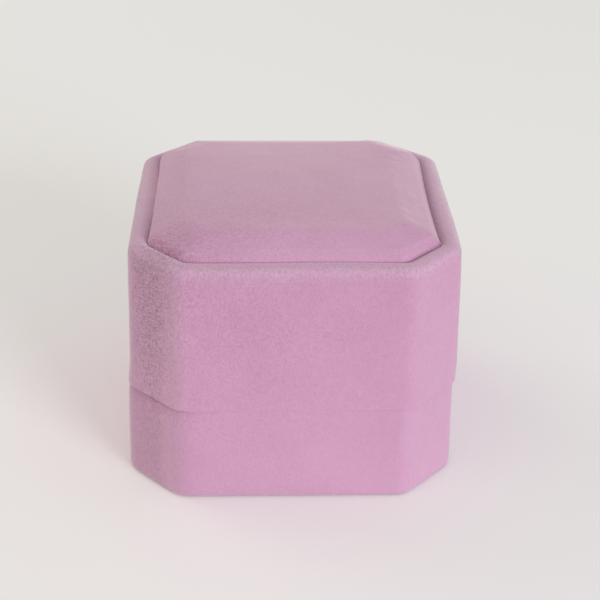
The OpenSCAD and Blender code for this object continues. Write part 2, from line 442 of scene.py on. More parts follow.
def summed(tree, first, *others, clamp=False):
    """Sum of several numbers."""
    total = first
    for number, other in enumerate(others):
        total = math_node(tree, "ADD", total, other, clamp=clamp and number == len(others) - 1)
    return total


# %% Noise at a point
NOISE_LOW, NOISE_HIGH = 0.3, 0.7


def noise_at(tree, point, scale, detail=2.0, roughness=0.5, stretch=(1.0, 1.0, 1.0),
             distortion=0.0):
    """Noise around a half, at a point in millimetres; scale is in waves to a millimetre."""
    mapping = tree.nodes.new("ShaderNodeMapping")
    mapping.inputs["Scale"].default_value = stretch
    tree.links.new(point, mapping.inputs["Vector"])
    texture = tree.nodes.new("ShaderNodeTexNoise")
    texture.inputs["Scale"].default_value = scale
    texture.inputs["Detail"].default_value = detail
    texture.inputs["Roughness"].default_value = roughness
    feed(tree, distortion, texture.inputs["Distortion"])
    tree.links.new(mapping.outputs[0], texture.inputs["Vector"])
    return texture.outputs["Fac"]


# %% [markdown]
# ### Grain of the pile
#
# Velvet is a forest of cut threads a fraction of a millimetre long. From a hand's distance the
# eye sees it as a fine speckle: small curls where threads lean together, light on their tips and
# dark between them. One noise makes the curls, its distortion winds them up, and Flat above 1
# lays them down. A second one, stretched along the height, makes the short streaks where the
# pile hangs down.

# %% Node group: pile grain
CURL_WAVES = 2.2
STREAK_WAVES = 2.4
STREAK_STRETCH = (1.0, 1.0, 0.4)
SPECKLE_FROM, SPECKLE_TO = 0.34, 0.66


def build_pile_grain():
    group, start, end = group_with(
        "pile_grain",
        [("Point", None), ("Fineness", 1.0), ("Streaks", 0.3), ("Curl", 0.3), ("Flat", 1.0)],
        ["Height", "Speckle"],
    )
    point = scaled_point(group, start.outputs["Point"], start.outputs["Fineness"])
    parts = group.nodes.new("ShaderNodeSeparateXYZ")
    group.links.new(point, parts.inputs[0])
    lying = group.nodes.new("ShaderNodeCombineXYZ")
    group.links.new(parts.outputs["X"], lying.inputs["X"])
    group.links.new(parts.outputs["Y"], lying.inputs["Y"])
    group.links.new(math_node(group, "MULTIPLY", parts.outputs["Z"], start.outputs["Flat"]),
                    lying.inputs["Z"])
    curls = noise_at(group, lying.outputs[0], CURL_WAVES, detail=3.0, roughness=0.6,
                     distortion=start.outputs["Curl"])
    streaks = noise_at(group, point, STREAK_WAVES, detail=2.0, stretch=STREAK_STRETCH)
    mix = group.nodes.new("ShaderNodeMix")
    group.links.new(start.outputs["Streaks"], mix.inputs["Factor"])
    group.links.new(curls, mix.inputs["A"])
    group.links.new(streaks, mix.inputs["B"])
    height = mix.outputs["Result"]
    group.links.new(height, end.inputs["Height"])
    group.links.new(remapped(group, height, SPECKLE_FROM, SPECKLE_TO), end.inputs["Speckle"])
    return group


pile_grain = build_pile_grain()
introduce(pile_grain)

# %% [markdown]
# ### Stroked patches
#
# Where a finger has passed, the pile lies the other way and looks lighter or darker. The patches
# are a centimetre or two across with soft borders.

# %% Node group: stroked patches
def build_stroked_patches():
    group, start, end = group_with("stroked_patches", [("Point", None), ("Size", 12.0)], ["Lean"])
    waves = math_node(group, "DIVIDE", 1.0, start.outputs["Size"])
    point = scaled_point(group, start.outputs["Point"], waves)
    lean = noise_at(group, point, 1.0, detail=3.0, roughness=0.55)
    group.links.new(remapped(group, lean, NOISE_LOW, NOISE_HIGH), end.inputs["Lean"])
    return group


stroked_patches = build_stroked_patches()
introduce(stroked_patches)

# %% [markdown]
# ### Curled pile
#
# Where the pile is ruffled, whole tufts lean together and leave dark gaps between them. That is
# the grain once more, but with its middle tones pushed up, so that only the gaps stay dark. It
# grows with the square of the ruffling, so that it doesn't reach the calm parts.

# %% Node group: curled pile
CURLED_SPECKLE = 1.25
GAP_SHARPNESS = 0.5
GAP_LEVEL = 0.68


def build_curled_pile():
    group, start, end = group_with(
        "curled_pile", [("Speckle", 0.5), ("Height", 0.5), ("Ruffled", 0.0)], ["Shade", "Rise"],
    )
    ruffled = start.outputs["Ruffled"]
    tangled = math_node(group, "MULTIPLY", ruffled, ruffled)
    tufts = math_node(group, "POWER", start.outputs["Speckle"], GAP_SHARPNESS)
    around_zero = math_node(group, "SUBTRACT", tufts, GAP_LEVEL)
    strength = math_node(group, "MULTIPLY", tangled, CURLED_SPECKLE)
    group.links.new(math_node(group, "MULTIPLY", around_zero, strength), end.inputs["Shade"])
    group.links.new(math_node(group, "MULTIPLY", start.outputs["Height"], tangled),
                    end.inputs["Rise"])
    return group


curled_pile = build_curled_pile()
introduce(curled_pile)

# %% [markdown]
# ### Lean and painted light of the pile
#
# A box that is picked up and put down shows it: broad patches of the pile lean one way or the
# other. The rest is painted light and shade: a painted shade where the pile is ruffled, a painted
# highlight on the pad's front slope and beside the left front edge, a painted shadow under the
# lid's edge at the left front chamfer, and painted light that makes the pile lighter at the foot
# than at the rim. All of these are small shades around zero, which are added up before the colour
# is chosen.

# %% Node group: lean and painted light of the pile
LEAN_SHARE = 0.07
RUFFLED_SHADE = -0.13
BRUSHED_FOOT = 0.09
BRUSHED_RIM = -0.08
STROKED_SHARE = 0.15
PRESSED_SHADE = -0.22


def build_handled_pile():
    group, start, end = group_with(
        "handled_pile",
        [("Point", None), ("Lean", 0.5), ("Ruffled", 0.0), ("Stroked", 0.0), ("Pressed", 0.0)],
        ["Shade"],
    )
    parts = group.nodes.new("ShaderNodeSeparateXYZ")
    group.links.new(start.outputs["Point"], parts.inputs[0])
    lean = off_centre(group, start.outputs["Lean"], LEAN_SHARE)
    # painted shade where the pile is ruffled
    dimmed = math_node(group, "MULTIPLY", start.outputs["Ruffled"], RUFFLED_SHADE)
    # painted light: lighter towards the foot, darker towards the rim
    brushed = remapped(group, parts.outputs["Z"], 0.0, RIM, BRUSHED_FOOT, BRUSHED_RIM)
    # painted highlight where the light falls on the pile
    stroked = math_node(group, "MULTIPLY", start.outputs["Stroked"], STROKED_SHARE)
    # painted shadow under the lid's edge at the left front chamfer, fainter down the base's wall
    pressed = math_node(group, "MULTIPLY", start.outputs["Pressed"], PRESSED_SHADE)
    group.links.new(summed(group, lean, dimmed, brushed, stroked, pressed), end.inputs["Shade"])
    return group


handled_pile = build_handled_pile()
introduce(handled_pile)

# %% [markdown]
# ### Grey tips and painted sheen
#
# The threads are dyed through, but their cut tips are greyer than their sides. The tips show
# where a bend opens the pile like a brush, tuft by tuft, and faintly in small mottles elsewhere.
# At the bends and along the upright edges of the left front chamfer the same grey is also a
# painted sheen, pale where the pile would catch light at a low angle.

# %% Node group: grey tips and painted sheen
MOTTLE_WAVES = 0.9
MOTTLE_FROM, MOTTLE_TO = 0.42, 0.62
MOTTLE_SHARE = 0.13
OPENED_LEAST = 0.35
OPENED_MOST = 1.0


def build_grey_tips():
    group, start, end = group_with(
        "grey_tips", [("Point", None), ("Speckle", 0.5), ("Opened", 0.0)], ["Share"],
    )
    mottle = remapped(group, noise_at(group, start.outputs["Point"], MOTTLE_WAVES, detail=4.0),
                      MOTTLE_FROM, MOTTLE_TO, 0.0, MOTTLE_SHARE)
    tufts = remapped(group, start.outputs["Speckle"], 0.0, 1.0, OPENED_LEAST, OPENED_MOST)
    # grey where the pile is open at bends and edges, partly a painted sheen
    brushed_open = math_node(group, "MULTIPLY", start.outputs["Opened"], tufts)
    group.links.new(math_node(group, "MAXIMUM", brushed_open, mottle), end.inputs["Share"])
    return group


grey_tips = build_grey_tips()
introduce(grey_tips)

# %% [markdown]
# ### Woven threads
#
# Satin and the faces of boards show straight threads or fibres. Two sets of fine waves, one
# across the other, are enough at this size, with a little noise so that no thread is perfect.

# %% Node group: woven threads
WOBBLE_WAVES = 0.5
WAVES_LEAST, WAVES_MOST = -2.0, 2.0
SLUB_WAVES = 0.6
SLUB_STRETCH = (0.15, 1.0, 1.0)
SLUB_FROM, SLUB_TO = 0.35, 0.65


def build_woven_threads():
    group, start, end = group_with(
        "woven_threads", [("Point", None), ("Threads", 4.0), ("Unevenness", 0.3)],
        ["Height", "Slub"],
    )
    parts = group.nodes.new("ShaderNodeSeparateXYZ")
    group.links.new(start.outputs["Point"], parts.inputs[0])
    wobble = noise_at(group, start.outputs["Point"], WOBBLE_WAVES, detail=3.0)
    uneven = math_node(group, "MULTIPLY", wobble, start.outputs["Unevenness"])
    turn = math_node(group, "MULTIPLY", start.outputs["Threads"], 2 * math.pi)

    def wave(socket):
        place = math_node(group, "ADD", socket, uneven)
        return math_node(group, "SINE", math_node(group, "MULTIPLY", place, turn))

    across = math_node(group, "MULTIPLY", wave(parts.outputs["X"]), wave(parts.outputs["Y"]))
    along = math_node(group, "ADD", across, wave(parts.outputs["Z"]))
    group.links.new(remapped(group, along, WAVES_LEAST, WAVES_MOST), end.inputs["Height"])
    slub = noise_at(group, start.outputs["Point"], SLUB_WAVES, detail=2.0, stretch=SLUB_STRETCH)
    group.links.new(remapped(group, slub, SLUB_FROM, SLUB_TO), end.inputs["Slub"])
    return group


woven_threads = build_woven_threads()
introduce(woven_threads)

# %% [markdown]
# ## Finishes
#
# A finish starts from the same few nodes: the point in millimetres, a Principled shader and a
# bump. The colour, roughness and bump are joined to the effects. Sheen stays a plain number on
# the shader's own socket, because it is the same all over the cloth.

# %% What every finish starts from
def finish_named(name):
    """A material with a Principled shader, and its point in millimetres."""
    material = bpy.data.materials.new(name)
    material.use_nodes = True
    tree = material.node_tree
    shader = tree.nodes["Principled BSDF"]
    coordinates = tree.nodes.new("ShaderNodeTexCoord")
    return material, tree, shader, scaled_point(tree, coordinates.outputs["Object"], 1 / MM)


def placed(tree, group, **values):
    """A node group in a material, with its own values, which are sockets or plain numbers."""
    node = tree.nodes.new("ShaderNodeGroup")
    node.node_tree = group
    for name, value in values.items():
        feed(tree, value, node.inputs[name])
    return node


def mixed(tree, factor, first, second):
    """Colour between two colours, which are sockets or plain (r, g, b)."""
    node = tree.nodes.new("ShaderNodeMix")
    node.data_type = "RGBA"
    feed(tree, factor, node.inputs["Factor"])
    colours = [s for s in node.inputs if s.type == "RGBA"]
    for socket, value in zip(colours, (first, second)):
        feed(tree, value if hasattr(value, "is_output") else (*value, 1.0), socket)
    return [s for s in node.outputs if s.type == "RGBA"][0]


def bumped(tree, shader, height, distance):
    """Bump from a height, with its distance in millimetres."""
    bump = tree.nodes.new("ShaderNodeBump")
    bump.inputs["Distance"].default_value = distance * MM
    tree.links.new(height, bump.inputs["Height"])
    tree.links.new(bump.outputs[0], shader.inputs["Normal"])


def painted(tree, name):
    """A number that the mesh carries at its points."""
    attribute = tree.nodes.new("ShaderNodeAttribute")
    attribute.attribute_name = name
    return attribute.outputs["Fac"]


# %% [markdown]
# ### Velvet
#
# The colour of the pile is an orchid pink, deeper where it lies in its own shade and brighter
# where a highlight is painted on. The speckle of the grain, the curls, broad patches that a hand
# has stroked, small mottles where grey tips show between the pink, and the bends, where the pile
# opens like a brush, all vary it. The meshes carry four numbers for this. The first is where a
# bend opens the pile, whose grey tips also paint a pale sheen at the bends and edges. The second
# is where the pile stands in untidy curls, so that both the speckle and the bump are strong there
# and faint elsewhere, and a painted shade darkens it. The third is where a highlight is painted
# on, and the fourth is where a shadow is painted under the lid's edge and down the base's left
# front chamfer. The sheen is the light that the standing fibres catch at a low angle. It is what
# tells velvet from felt, so it stays strong all over.

# %% Shading of the pile
CALM_SPECKLE, RUFFLED_SPECKLE = 0.11, 0.64
CALM_STREAKS, OPENED_STREAKS = 0.25, 0.8
CALM_BUMP, RUFFLED_BUMP = 0.22, 0.8
OPENED_UNREST = 0.8
GRAIN_FINENESS = 1.25
CURL_FINENESS = 0.9
CURL_WINDING = 1.1
CURL_FLATNESS = 1.5
PATCH_SIZE = 11.0


def pile_shading(tree, point):
    """Pile brightness with painted light and shade, grey share with painted sheen, and height."""
    opened, ruffled = painted(tree, "opened"), painted(tree, "ruffled")
    unrest = math_node(tree, "MAXIMUM", math_node(tree, "MULTIPLY", opened, OPENED_UNREST),
                       ruffled)
    streaks = remapped(tree, opened, 0.0, 1.0, CALM_STREAKS, OPENED_STREAKS)
    grain = placed(tree, pile_grain, Point=point, Fineness=GRAIN_FINENESS, Streaks=streaks)
    speckle = off_centre(tree, grain.outputs["Speckle"],
                         remapped(tree, unrest, 0.0, 1.0, CALM_SPECKLE, RUFFLED_SPECKLE))
    curls = placed(tree, pile_grain, Point=point, Fineness=CURL_FINENESS, Streaks=0.0,
                   Curl=CURL_WINDING, Flat=CURL_FLATNESS)
    curled = placed(tree, curled_pile, Speckle=curls.outputs["Speckle"],
                    Height=curls.outputs["Height"], Ruffled=ruffled)
    patches = placed(tree, stroked_patches, Point=point, Size=PATCH_SIZE)
    # lean of the pile, with painted light and shade added: ruffle shade, highlights, seam shadow
    # and a lighter foot
    handled = placed(tree, handled_pile, Point=point, Lean=patches.outputs["Lean"],
                     Ruffled=ruffled, Stroked=painted(tree, "stroked"),
                     Pressed=painted(tree, "pressed"))
    bright = summed(tree, speckle, curled.outputs["Shade"], handled.outputs["Shade"], 0.5,
                    clamp=True)
    tips = placed(tree, grey_tips, Point=point, Speckle=grain.outputs["Speckle"], Opened=opened)
    calm_rise = math_node(tree, "MULTIPLY", grain.outputs["Height"],
                          remapped(tree, unrest, 0.0, 1.0, CALM_BUMP, RUFFLED_BUMP))
    rise = math_node(tree, "ADD", calm_rise, curled.outputs["Rise"])
    return bright, tips.outputs["Share"], rise


# %% Two velvets
PILE_ROUGHNESS = 0.95
PILE_SHINE = 0.1
PILE_SHEEN = 0.8
SHEEN_ROUGHNESS = 0.45
SHEEN_TINT = (1.0, 0.95, 0.95, 1.0)
PILE_BUMP = 0.25


def velvet(name, deep, bright, tips):
    material, tree, shader, point = finish_named(name)
    brightness, tips_share, rise = pile_shading(tree, point)
    pile = mixed(tree, brightness, deep, bright)
    # grey tips, partly a painted sheen at bends and edges
    tree.links.new(mixed(tree, tips_share, pile, tips), shader.inputs["Base Color"])
    shader.inputs["Roughness"].default_value = PILE_ROUGHNESS
    shader.inputs["Specular IOR Level"].default_value = PILE_SHINE
    shader.inputs["Sheen Weight"].default_value = PILE_SHEEN
    shader.inputs["Sheen Roughness"].default_value = SHEEN_ROUGHNESS
    shader.inputs["Sheen Tint"].default_value = SHEEN_TINT
    bumped(tree, shader, rise, PILE_BUMP)
    return material


outer_velvet = velvet("orchid_velvet_outside", deep=(0.38, 0.165, 0.285),
                      bright=(0.84, 0.485, 0.72), tips=(0.60, 0.425, 0.545))
inner_velvet = velvet("orchid_velvet_inside", deep=(0.36, 0.155, 0.27),
                      bright=(0.79, 0.455, 0.675), tips=(0.60, 0.435, 0.53))
print("velvets:", outer_velvet.name, inner_velvet.name)

# %% [markdown]
# ### Satin, board, foam and plastic
#
# Satin is smooth and shines along its threads. Grey board is matt with short fibres. Foam is a
# sponge of tiny cells. The moulded shells are an off-white plastic with a faint texture. None of
# them shows while the box is closed, but they do when it is lifted apart.

# %% Satin finish
SATIN_THREADS = 5.0
SATIN_UNEVENNESS = 0.12
SATIN_SMOOTH, SATIN_ROUGH = 0.30, 0.42
SATIN_ALONG = 0.5
SATIN_SHEEN = 0.15
SATIN_BUMP = 0.02


def satin(name, deep, bright):
    material, tree, shader, point = finish_named(name)
    threads = placed(tree, woven_threads, Point=point, Threads=SATIN_THREADS,
                     Unevenness=SATIN_UNEVENNESS)
    tree.links.new(mixed(tree, threads.outputs["Slub"], deep, bright),
                   shader.inputs["Base Color"])
    tree.links.new(remapped(tree, threads.outputs["Slub"], 0.0, 1.0, SATIN_SMOOTH, SATIN_ROUGH),
                   shader.inputs["Roughness"])
    shader.inputs["Anisotropic"].default_value = SATIN_ALONG
    shader.inputs["Sheen Weight"].default_value = SATIN_SHEEN
    bumped(tree, shader, threads.outputs["Height"], SATIN_BUMP)
    return material


blush_satin = satin("blush_satin", deep=(0.78, 0.60, 0.67), bright=(0.86, 0.70, 0.76))
print("satin:", blush_satin.name)


# %% Board finish
BOARD_FIBRES = 1.3
BOARD_UNEVENNESS = 2.5
BOARD_SPECKS = 3.0
BOARD_ROUGHNESS = 0.9
BOARD_BUMP = 0.05


def board(name, deep, bright):
    material, tree, shader, point = finish_named(name)
    fibres = placed(tree, woven_threads, Point=point, Threads=BOARD_FIBRES,
                    Unevenness=BOARD_UNEVENNESS)
    specks = noise_at(tree, point, BOARD_SPECKS, detail=4.0, roughness=0.7)
    factor = math_node(tree, "MULTIPLY", fibres.outputs["Slub"],
                       remapped(tree, specks, NOISE_LOW, NOISE_HIGH))
    tree.links.new(mixed(tree, factor, deep, bright), shader.inputs["Base Color"])
    shader.inputs["Roughness"].default_value = BOARD_ROUGHNESS
    bumped(tree, shader, specks, BOARD_BUMP)
    return material


grey_board = board("grey_board", deep=(0.36, 0.33, 0.30), bright=(0.50, 0.47, 0.43))
print("board:", grey_board.name)


# %% Foam finish
FOAM_CELLS = 1.6
CELL_FROM, CELL_TO = 0.1, 0.6
FOAM_ROUGHNESS = 0.95
FOAM_BUMP = 0.25


def sponge(name, deep, bright):
    material, tree, shader, point = finish_named(name)
    cells = tree.nodes.new("ShaderNodeTexVoronoi")
    cells.inputs["Scale"].default_value = FOAM_CELLS
    tree.links.new(point, cells.inputs["Vector"])
    depth = remapped(tree, cells.outputs["Distance"], CELL_FROM, CELL_TO)
    tree.links.new(mixed(tree, depth, deep, bright), shader.inputs["Base Color"])
    shader.inputs["Roughness"].default_value = FOAM_ROUGHNESS
    bumped(tree, shader, depth, FOAM_BUMP)
    return material


white_foam = sponge("white_foam", deep=(0.62, 0.55, 0.50), bright=(0.86, 0.80, 0.75))
print("foam:", white_foam.name)


# %% Moulded plastic finish
CLOUD_WAVES = 0.12
CLOUD_DARKEST = 0.93
MOULD_SMOOTH, MOULD_ROUGH = 0.42, 0.55
MOULD_GRAIN = 2.0
MOULD_BUMP = 0.02


def moulded(name, colour):
    material, tree, shader, point = finish_named(name)
    cloudy = noise_at(tree, point, CLOUD_WAVES, detail=3.0)
    darker = tuple(c * CLOUD_DARKEST for c in colour)
    tree.links.new(mixed(tree, cloudy, darker, colour), shader.inputs["Base Color"])
    roughness = remapped(tree, cloudy, NOISE_LOW, NOISE_HIGH, MOULD_SMOOTH, MOULD_ROUGH)
    tree.links.new(roughness, shader.inputs["Roughness"])
    bumped(tree, shader, noise_at(tree, point, MOULD_GRAIN, detail=2.0), MOULD_BUMP)
    return material


moulded_shell = moulded("moulded_shell", colour=(0.80, 0.77, 0.73))
print("plastic:", moulded_shell.name)


# %% [markdown]
# ## Dressing a piece
#
# Each new piece rides on a body of the box, stands for a solid node, which it hides, and gets its
# finish. One helper does all three, so no piece can be left behind when the lid lifts.

# %% Dress a piece
def dress(piece, body, node, material):
    piece.data.materials.clear()
    piece.data.materials.append(material)
    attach(piece, body)
    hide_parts(node)
    size = [round(s / MM, 1) for s in piece.dimensions]
    print(piece.name, "on", body, "size", size, "mm,", len(piece.data.vertices), "points")


# %% [markdown]
# ## Untidy pile
#
# The pile is most ruffled on the lid's left front chamfer, where a hand holds it, and it grows
# calm towards the right and down the base. Each point gets a number for it: full at the middle of
# that chamfer and fading with the distance from it. The same number also paints a shade, darker
# where the pile is more ruffled.

# %% Where the pile is ruffled
RUFFLED_MIDDLE = (-25.1, -25.3)
RUFFLED_REACH = 4.9
RUFFLED_FOOT = 12.0
RUFFLED_LEFT = 0.34
BROAD_REACH = 36.0
BROAD_SHARE = 0.40
BROAD_LEFT = 0.4


def risen(points):
    """0 low on the base, 1 at the rim."""
    return np.clip((points[..., 2] - RUFFLED_FOOT) / (RIM - RUFFLED_FOOT), 0, 1)


def ruffled_at(points):
    """How ruffled the pile is at points in millimetres, from 0 to 1; it also sets a painted shade.
    """
    away = np.hypot(points[..., 0] - RUFFLED_MIDDLE[0], points[..., 1] - RUFFLED_MIDDLE[1])
    rising = risen(points)
    near = np.exp(-(away / RUFFLED_REACH) ** 2) * (RUFFLED_LEFT + (1 - RUFFLED_LEFT) * rising)
    broad = BROAD_SHARE * np.exp(-(away / BROAD_REACH) ** 2)
    broad = broad * (BROAD_LEFT + (1 - BROAD_LEFT) * rising)
    return np.clip(near + broad, 0, 1)


middle_of_front = np.array((0.0, -BOX_HALF, RIM))
print("ruffled at the middle of the front:", round(float(ruffled_at(middle_of_front)), 2))


# %% [markdown]
# ## The lid's wrap
#
# One strip of velvet goes round the lid. It is turned up inside the lower edge, runs up the wall,
# over the rounded rim and down into the tray that holds the pad. Its back lies on the plastic
# shell. A lid that lifts off never sits exactly in the middle of its base: this one stands a
# little to the right, which the play on the collar allows, so only the outer face of the strip is
# shifted. A profile and its back make one closed ring of cloth, which is carried round the box.

# %% Profile of the lid's wrap
VELVET = 0.8
RIM_SETBACK = 0.9
LID_HEM_FACE = 3.8
LID_WALL = 3.0
LID_HEM_TOP = LINING_FOOT
LIP = 0.2
RIM_ROUND = 1.7
RIM_INNER_ROUND = 1.3
TRAY_FACE = 4.2
TRAY_FILLET = 0.45


def lid_face(height):
    """Inset of the lid's outer face at a height."""
    return RIM_SETBACK * (height - SEAM) / (RIM - SEAM)


def lid_outside():
    """Profile of the velvet that can be seen, from the lip up and over into the tray."""
    lip_inset = lid_face(SEAM + LIP) + LIP
    rim_inset = lid_face(RIM - RIM_ROUND) + RIM_ROUND
    return joined(
        bend(lip_inset, SEAM + LIP, LIP, -90, 0, steps=3),
        run((lid_face(SEAM + LIP), SEAM + LIP), (rim_inset - RIM_ROUND, RIM - RIM_ROUND)),
        bend(rim_inset, RIM - RIM_ROUND, RIM_ROUND, 0, 90),
        bend(TRAY_FACE - RIM_INNER_ROUND, RIM - RIM_INNER_ROUND, RIM_INNER_ROUND, 90, 180),
        run((TRAY_FACE, RIM - RIM_INNER_ROUND), (TRAY_FACE + TRAY_FILLET, TRAY_FLOOR)),
    )


def lid_back():
    """Profile of the velvet's glued back and of the hem inside the lid."""
    shell_rim = RIM - VELVET
    return joined(
        run((TRAY_FACE - VELVET, TRAY_FLOOR), (TRAY_FACE - VELVET, shell_rim), spacing=2.0),
        run((RIM_SETBACK + VELVET, shell_rim), (VELVET, SEAM + VELVET), spacing=6.0),
        run((LID_WALL, SEAM + VELVET), (LID_WALL, LID_HEM_TOP), spacing=5.0),
        run((LID_HEM_FACE, LID_HEM_TOP), (LID_HEM_FACE, SEAM + VELVET)),
        bend(LID_HEM_FACE - VELVET, SEAM + VELVET, VELVET, 180, 270, steps=4),
    )


print("lid's profile:", len(lid_outside()), "points outside and", len(lid_back()), "behind")

# %% Lap and fullness of a wrap
JOINT_LAP = 0.22
JOINT_FADE = 3.0
BULGE = 0.12


def lapped_joint(point, joint_x):
    """The strip's end laps over its start in one upright line at the back."""
    x, y, _ = point
    past = x - joint_x
    if y < BOX_HALF / 2 or past < 0:
        return 0.0
    return JOINT_LAP * math.exp(-past / JOINT_FADE)


def fuller_middle(point):
    """Cloth stands a little prouder in the middle of a side than at the upright edges."""
    reach = min(abs(point[0]), abs(point[1])) / (BOX_HALF - CHAMFER_LEG)
    return BULGE * max(0.0, 1.0 - reach * reach)


print("a wrap stands", BULGE, "mm prouder in the middle of a side")

# %% Pull towards the hem
HEM_PULL = 4.0
HEM_SHARE = 0.5


def hem_share(height):
    """The cloth is pulled in towards its hem, so the lowest rows take less of the shift."""
    return HEM_SHARE + (1 - HEM_SHARE) * min(1.0, max(0.0, (height - SEAM) / HEM_PULL))


print("share of the shift at the seam:", hem_share(SEAM))

# %% [markdown]
# ### A rim that isn't true
#
# The moulded rim is straight, but the cloth over it isn't. It is pulled tight at the back, so
# that the rim sags there, most of all at the corners. At the left and right sides it bellies in
# over the tray, more at the left. At the tray's left front corner the spare cloth is tucked in.
# Each of these is a small move of the rows, which fades out where the cloth is held.

# %% Sag of the rim
RIM_SAG = 0.40
CORNER_SAG = 0.28
CORNER_SHARPNESS = 3
SAG_REACH = 8.0


def rim_sag(rows):
    """The rim lies a little lower at the back, where the cloth is pulled tight."""
    backward = np.clip(rows[..., 1] / BOX_HALF, 0, 1)
    corner = np.clip(np.abs(rows[..., 0]) * backward / (BOX_HALF - CHAMFER_LEG / 2), 0, 1)
    rising = np.clip((rows[..., 2] - RIM + SAG_REACH) / SAG_REACH, 0, 1)
    return (RIM_SAG * np.sqrt(backward) + CORNER_SAG * corner ** CORNER_SHARPNESS) * rising


print("the rim sags by at most", round(RIM_SAG + CORNER_SAG, 2), "mm")

# %% Belly of the rim
LEFT_BOW, LEFT_MIDDLE, LEFT_HALF = 1.35, 0.0, 24.0
RIGHT_BOW, RIGHT_MIDDLE, RIGHT_HALF = -0.62, -4.0, 32.0
BOW_FROM = 17.0
BOW_WIDE = 8.0
BOW_FOOT = 44.5
BOW_RISE = 0.8


def side_bow(points):
    """How far the rim bellies over the tray at its left and right sides, as a move along x."""
    x, y = points[..., 0], points[..., 1]
    left = np.clip((y - LEFT_MIDDLE) / LEFT_HALF, -1, 1)
    right = np.clip((y - RIGHT_MIDDLE) / RIGHT_HALF, -1, 1)
    outward = np.clip((np.abs(x) - BOW_FROM) / BOW_WIDE, 0, 1)
    bows = np.where(x < 0, LEFT_BOW * np.cos(left * math.pi / 2) ** 2,
                    RIGHT_BOW * np.cos(right * math.pi / 2) ** 2)
    return bows * outward


def rim_bow(rows):
    """The part of the belly that each point of the wrap takes: all of it at the inner edge."""
    x, y = np.abs(rows[..., 0]), np.abs(rows[..., 1])
    inset = np.minimum(BOX_HALF - np.maximum(x, y),
                       (2 * BOX_HALF - CHAMFER_LEG - x - y) / math.sqrt(2))
    inner = np.clip((inset - RIM_ROUND) / (TRAY_FACE - RIM_ROUND), 0, 1)
    rising = np.clip((rows[..., 2] - BOW_FOOT) / BOW_RISE, 0, 1)
    return side_bow(rows) * inner * rising


print("the rim bellies in by", LEFT_BOW, "mm at the left and", -RIGHT_BOW, "mm at the right")

# %% Tucks beside the tray's corner
PINCHED_CORNER = (-24.0, -24.5)
PINCHED_REACH = 5.0
PINCHED_FAR = 15.0
PINCHED_DEPTH = 0.16
PINCHED_LENGTH = 1.1


def pinched(point):
    """Small tucks in the rim beside the left front corner of the tray."""
    away = math.hypot(point[0] - PINCHED_CORNER[0], point[1] - PINCHED_CORNER[1])
    if point[2] < RIM - RIM_ROUND or away > PINCHED_FAR:
        return 0.0
    near = math.exp(-(away / PINCHED_REACH) ** 2)
    return PINCHED_DEPTH * near * noise.noise(Vector(point) / PINCHED_LENGTH)


print("tucks of", PINCHED_DEPTH, "mm around", PINCHED_CORNER)

# %% [markdown]
# ### Pile and painted light at edges and bends
#
# A bend opens the pile like a brush, and the tighter it is, the more, and its grey tips there
# are partly a painted sheen. Hands do the same to the two upright edges of the left front
# chamfer, where the pale grey is painted sheen too, while the stretch beside the front one of
# them gets a painted highlight.

# %% Grey tips, painted sheen and a painted highlight at the edges
HANDLED_EDGES = {(-29.7, -19.8): 0.9, (-20.5, -29.6): 0.5}
HANDLED_REACH = 2.0
HANDLED_LEFT = 0.35
STROKED_EDGE = (-22.5, -28.55)
STROKED_EDGE_REACH = 2.15
STROKED_EDGE_SHARE = 1.15


def opened_at_edges(rows):
    """Grey where hands open the pile along two upright edges, with a painted pale sheen there."""
    opened = np.zeros(rows.shape[:2])
    for (x, y), share in HANDLED_EDGES.items():
        away = np.hypot(rows[..., 0] - x, rows[..., 1] - y)
        opened = np.maximum(opened, share * np.exp(-(away / HANDLED_REACH) ** 2))
    return opened * (HANDLED_LEFT + (1 - HANDLED_LEFT) * risen(rows))


def stroked_edge(rows):
    """A painted highlight beside the upright edge at the left front."""
    away = np.hypot(rows[..., 0] - STROKED_EDGE[0], rows[..., 1] - STROKED_EDGE[1])
    return STROKED_EDGE_SHARE * np.exp(-(away / STROKED_EDGE_REACH) ** 2)


print("handled edges at", list(HANDLED_EDGES))

# %% Pile opened at bends
BEND_OPENS = 6.0
BEND_BLURS = 2


def opened_at_bends(rows, lowest):
    """More where the profile turns quickly, as over a rim, and none below a height."""
    normals = row_normals(rows, closed=True)
    turn = 1.0 - (np.roll(normals, -1, axis=0) * np.roll(normals, 1, axis=0)).sum(axis=2)
    opened = np.where(rows[..., 2] > lowest, np.clip(turn * BEND_OPENS, 0, 1), 0.0)
    for _ in range(BEND_BLURS):
        opened = (np.roll(opened, 1, axis=0) + 2 * opened + np.roll(opened, -1, axis=0)) / 4
    return np.maximum(opened, opened_at_edges(rows))


# %% Lay a wrap
def laid(rows, seed, shown, extra):
    """Rows pushed out by waviness and by extra. shown says how much of it each row takes."""
    normals = row_normals(rows, closed=True)
    moved = rows.copy()
    for r, share in enumerate(shown):
        if share == 0.0:
            continue
        for c, point in enumerate(rows[r]):
            lift = waviness(point, seed) + extra(point)
            moved[r, c] = point + normals[r, c] * lift * share
    return moved


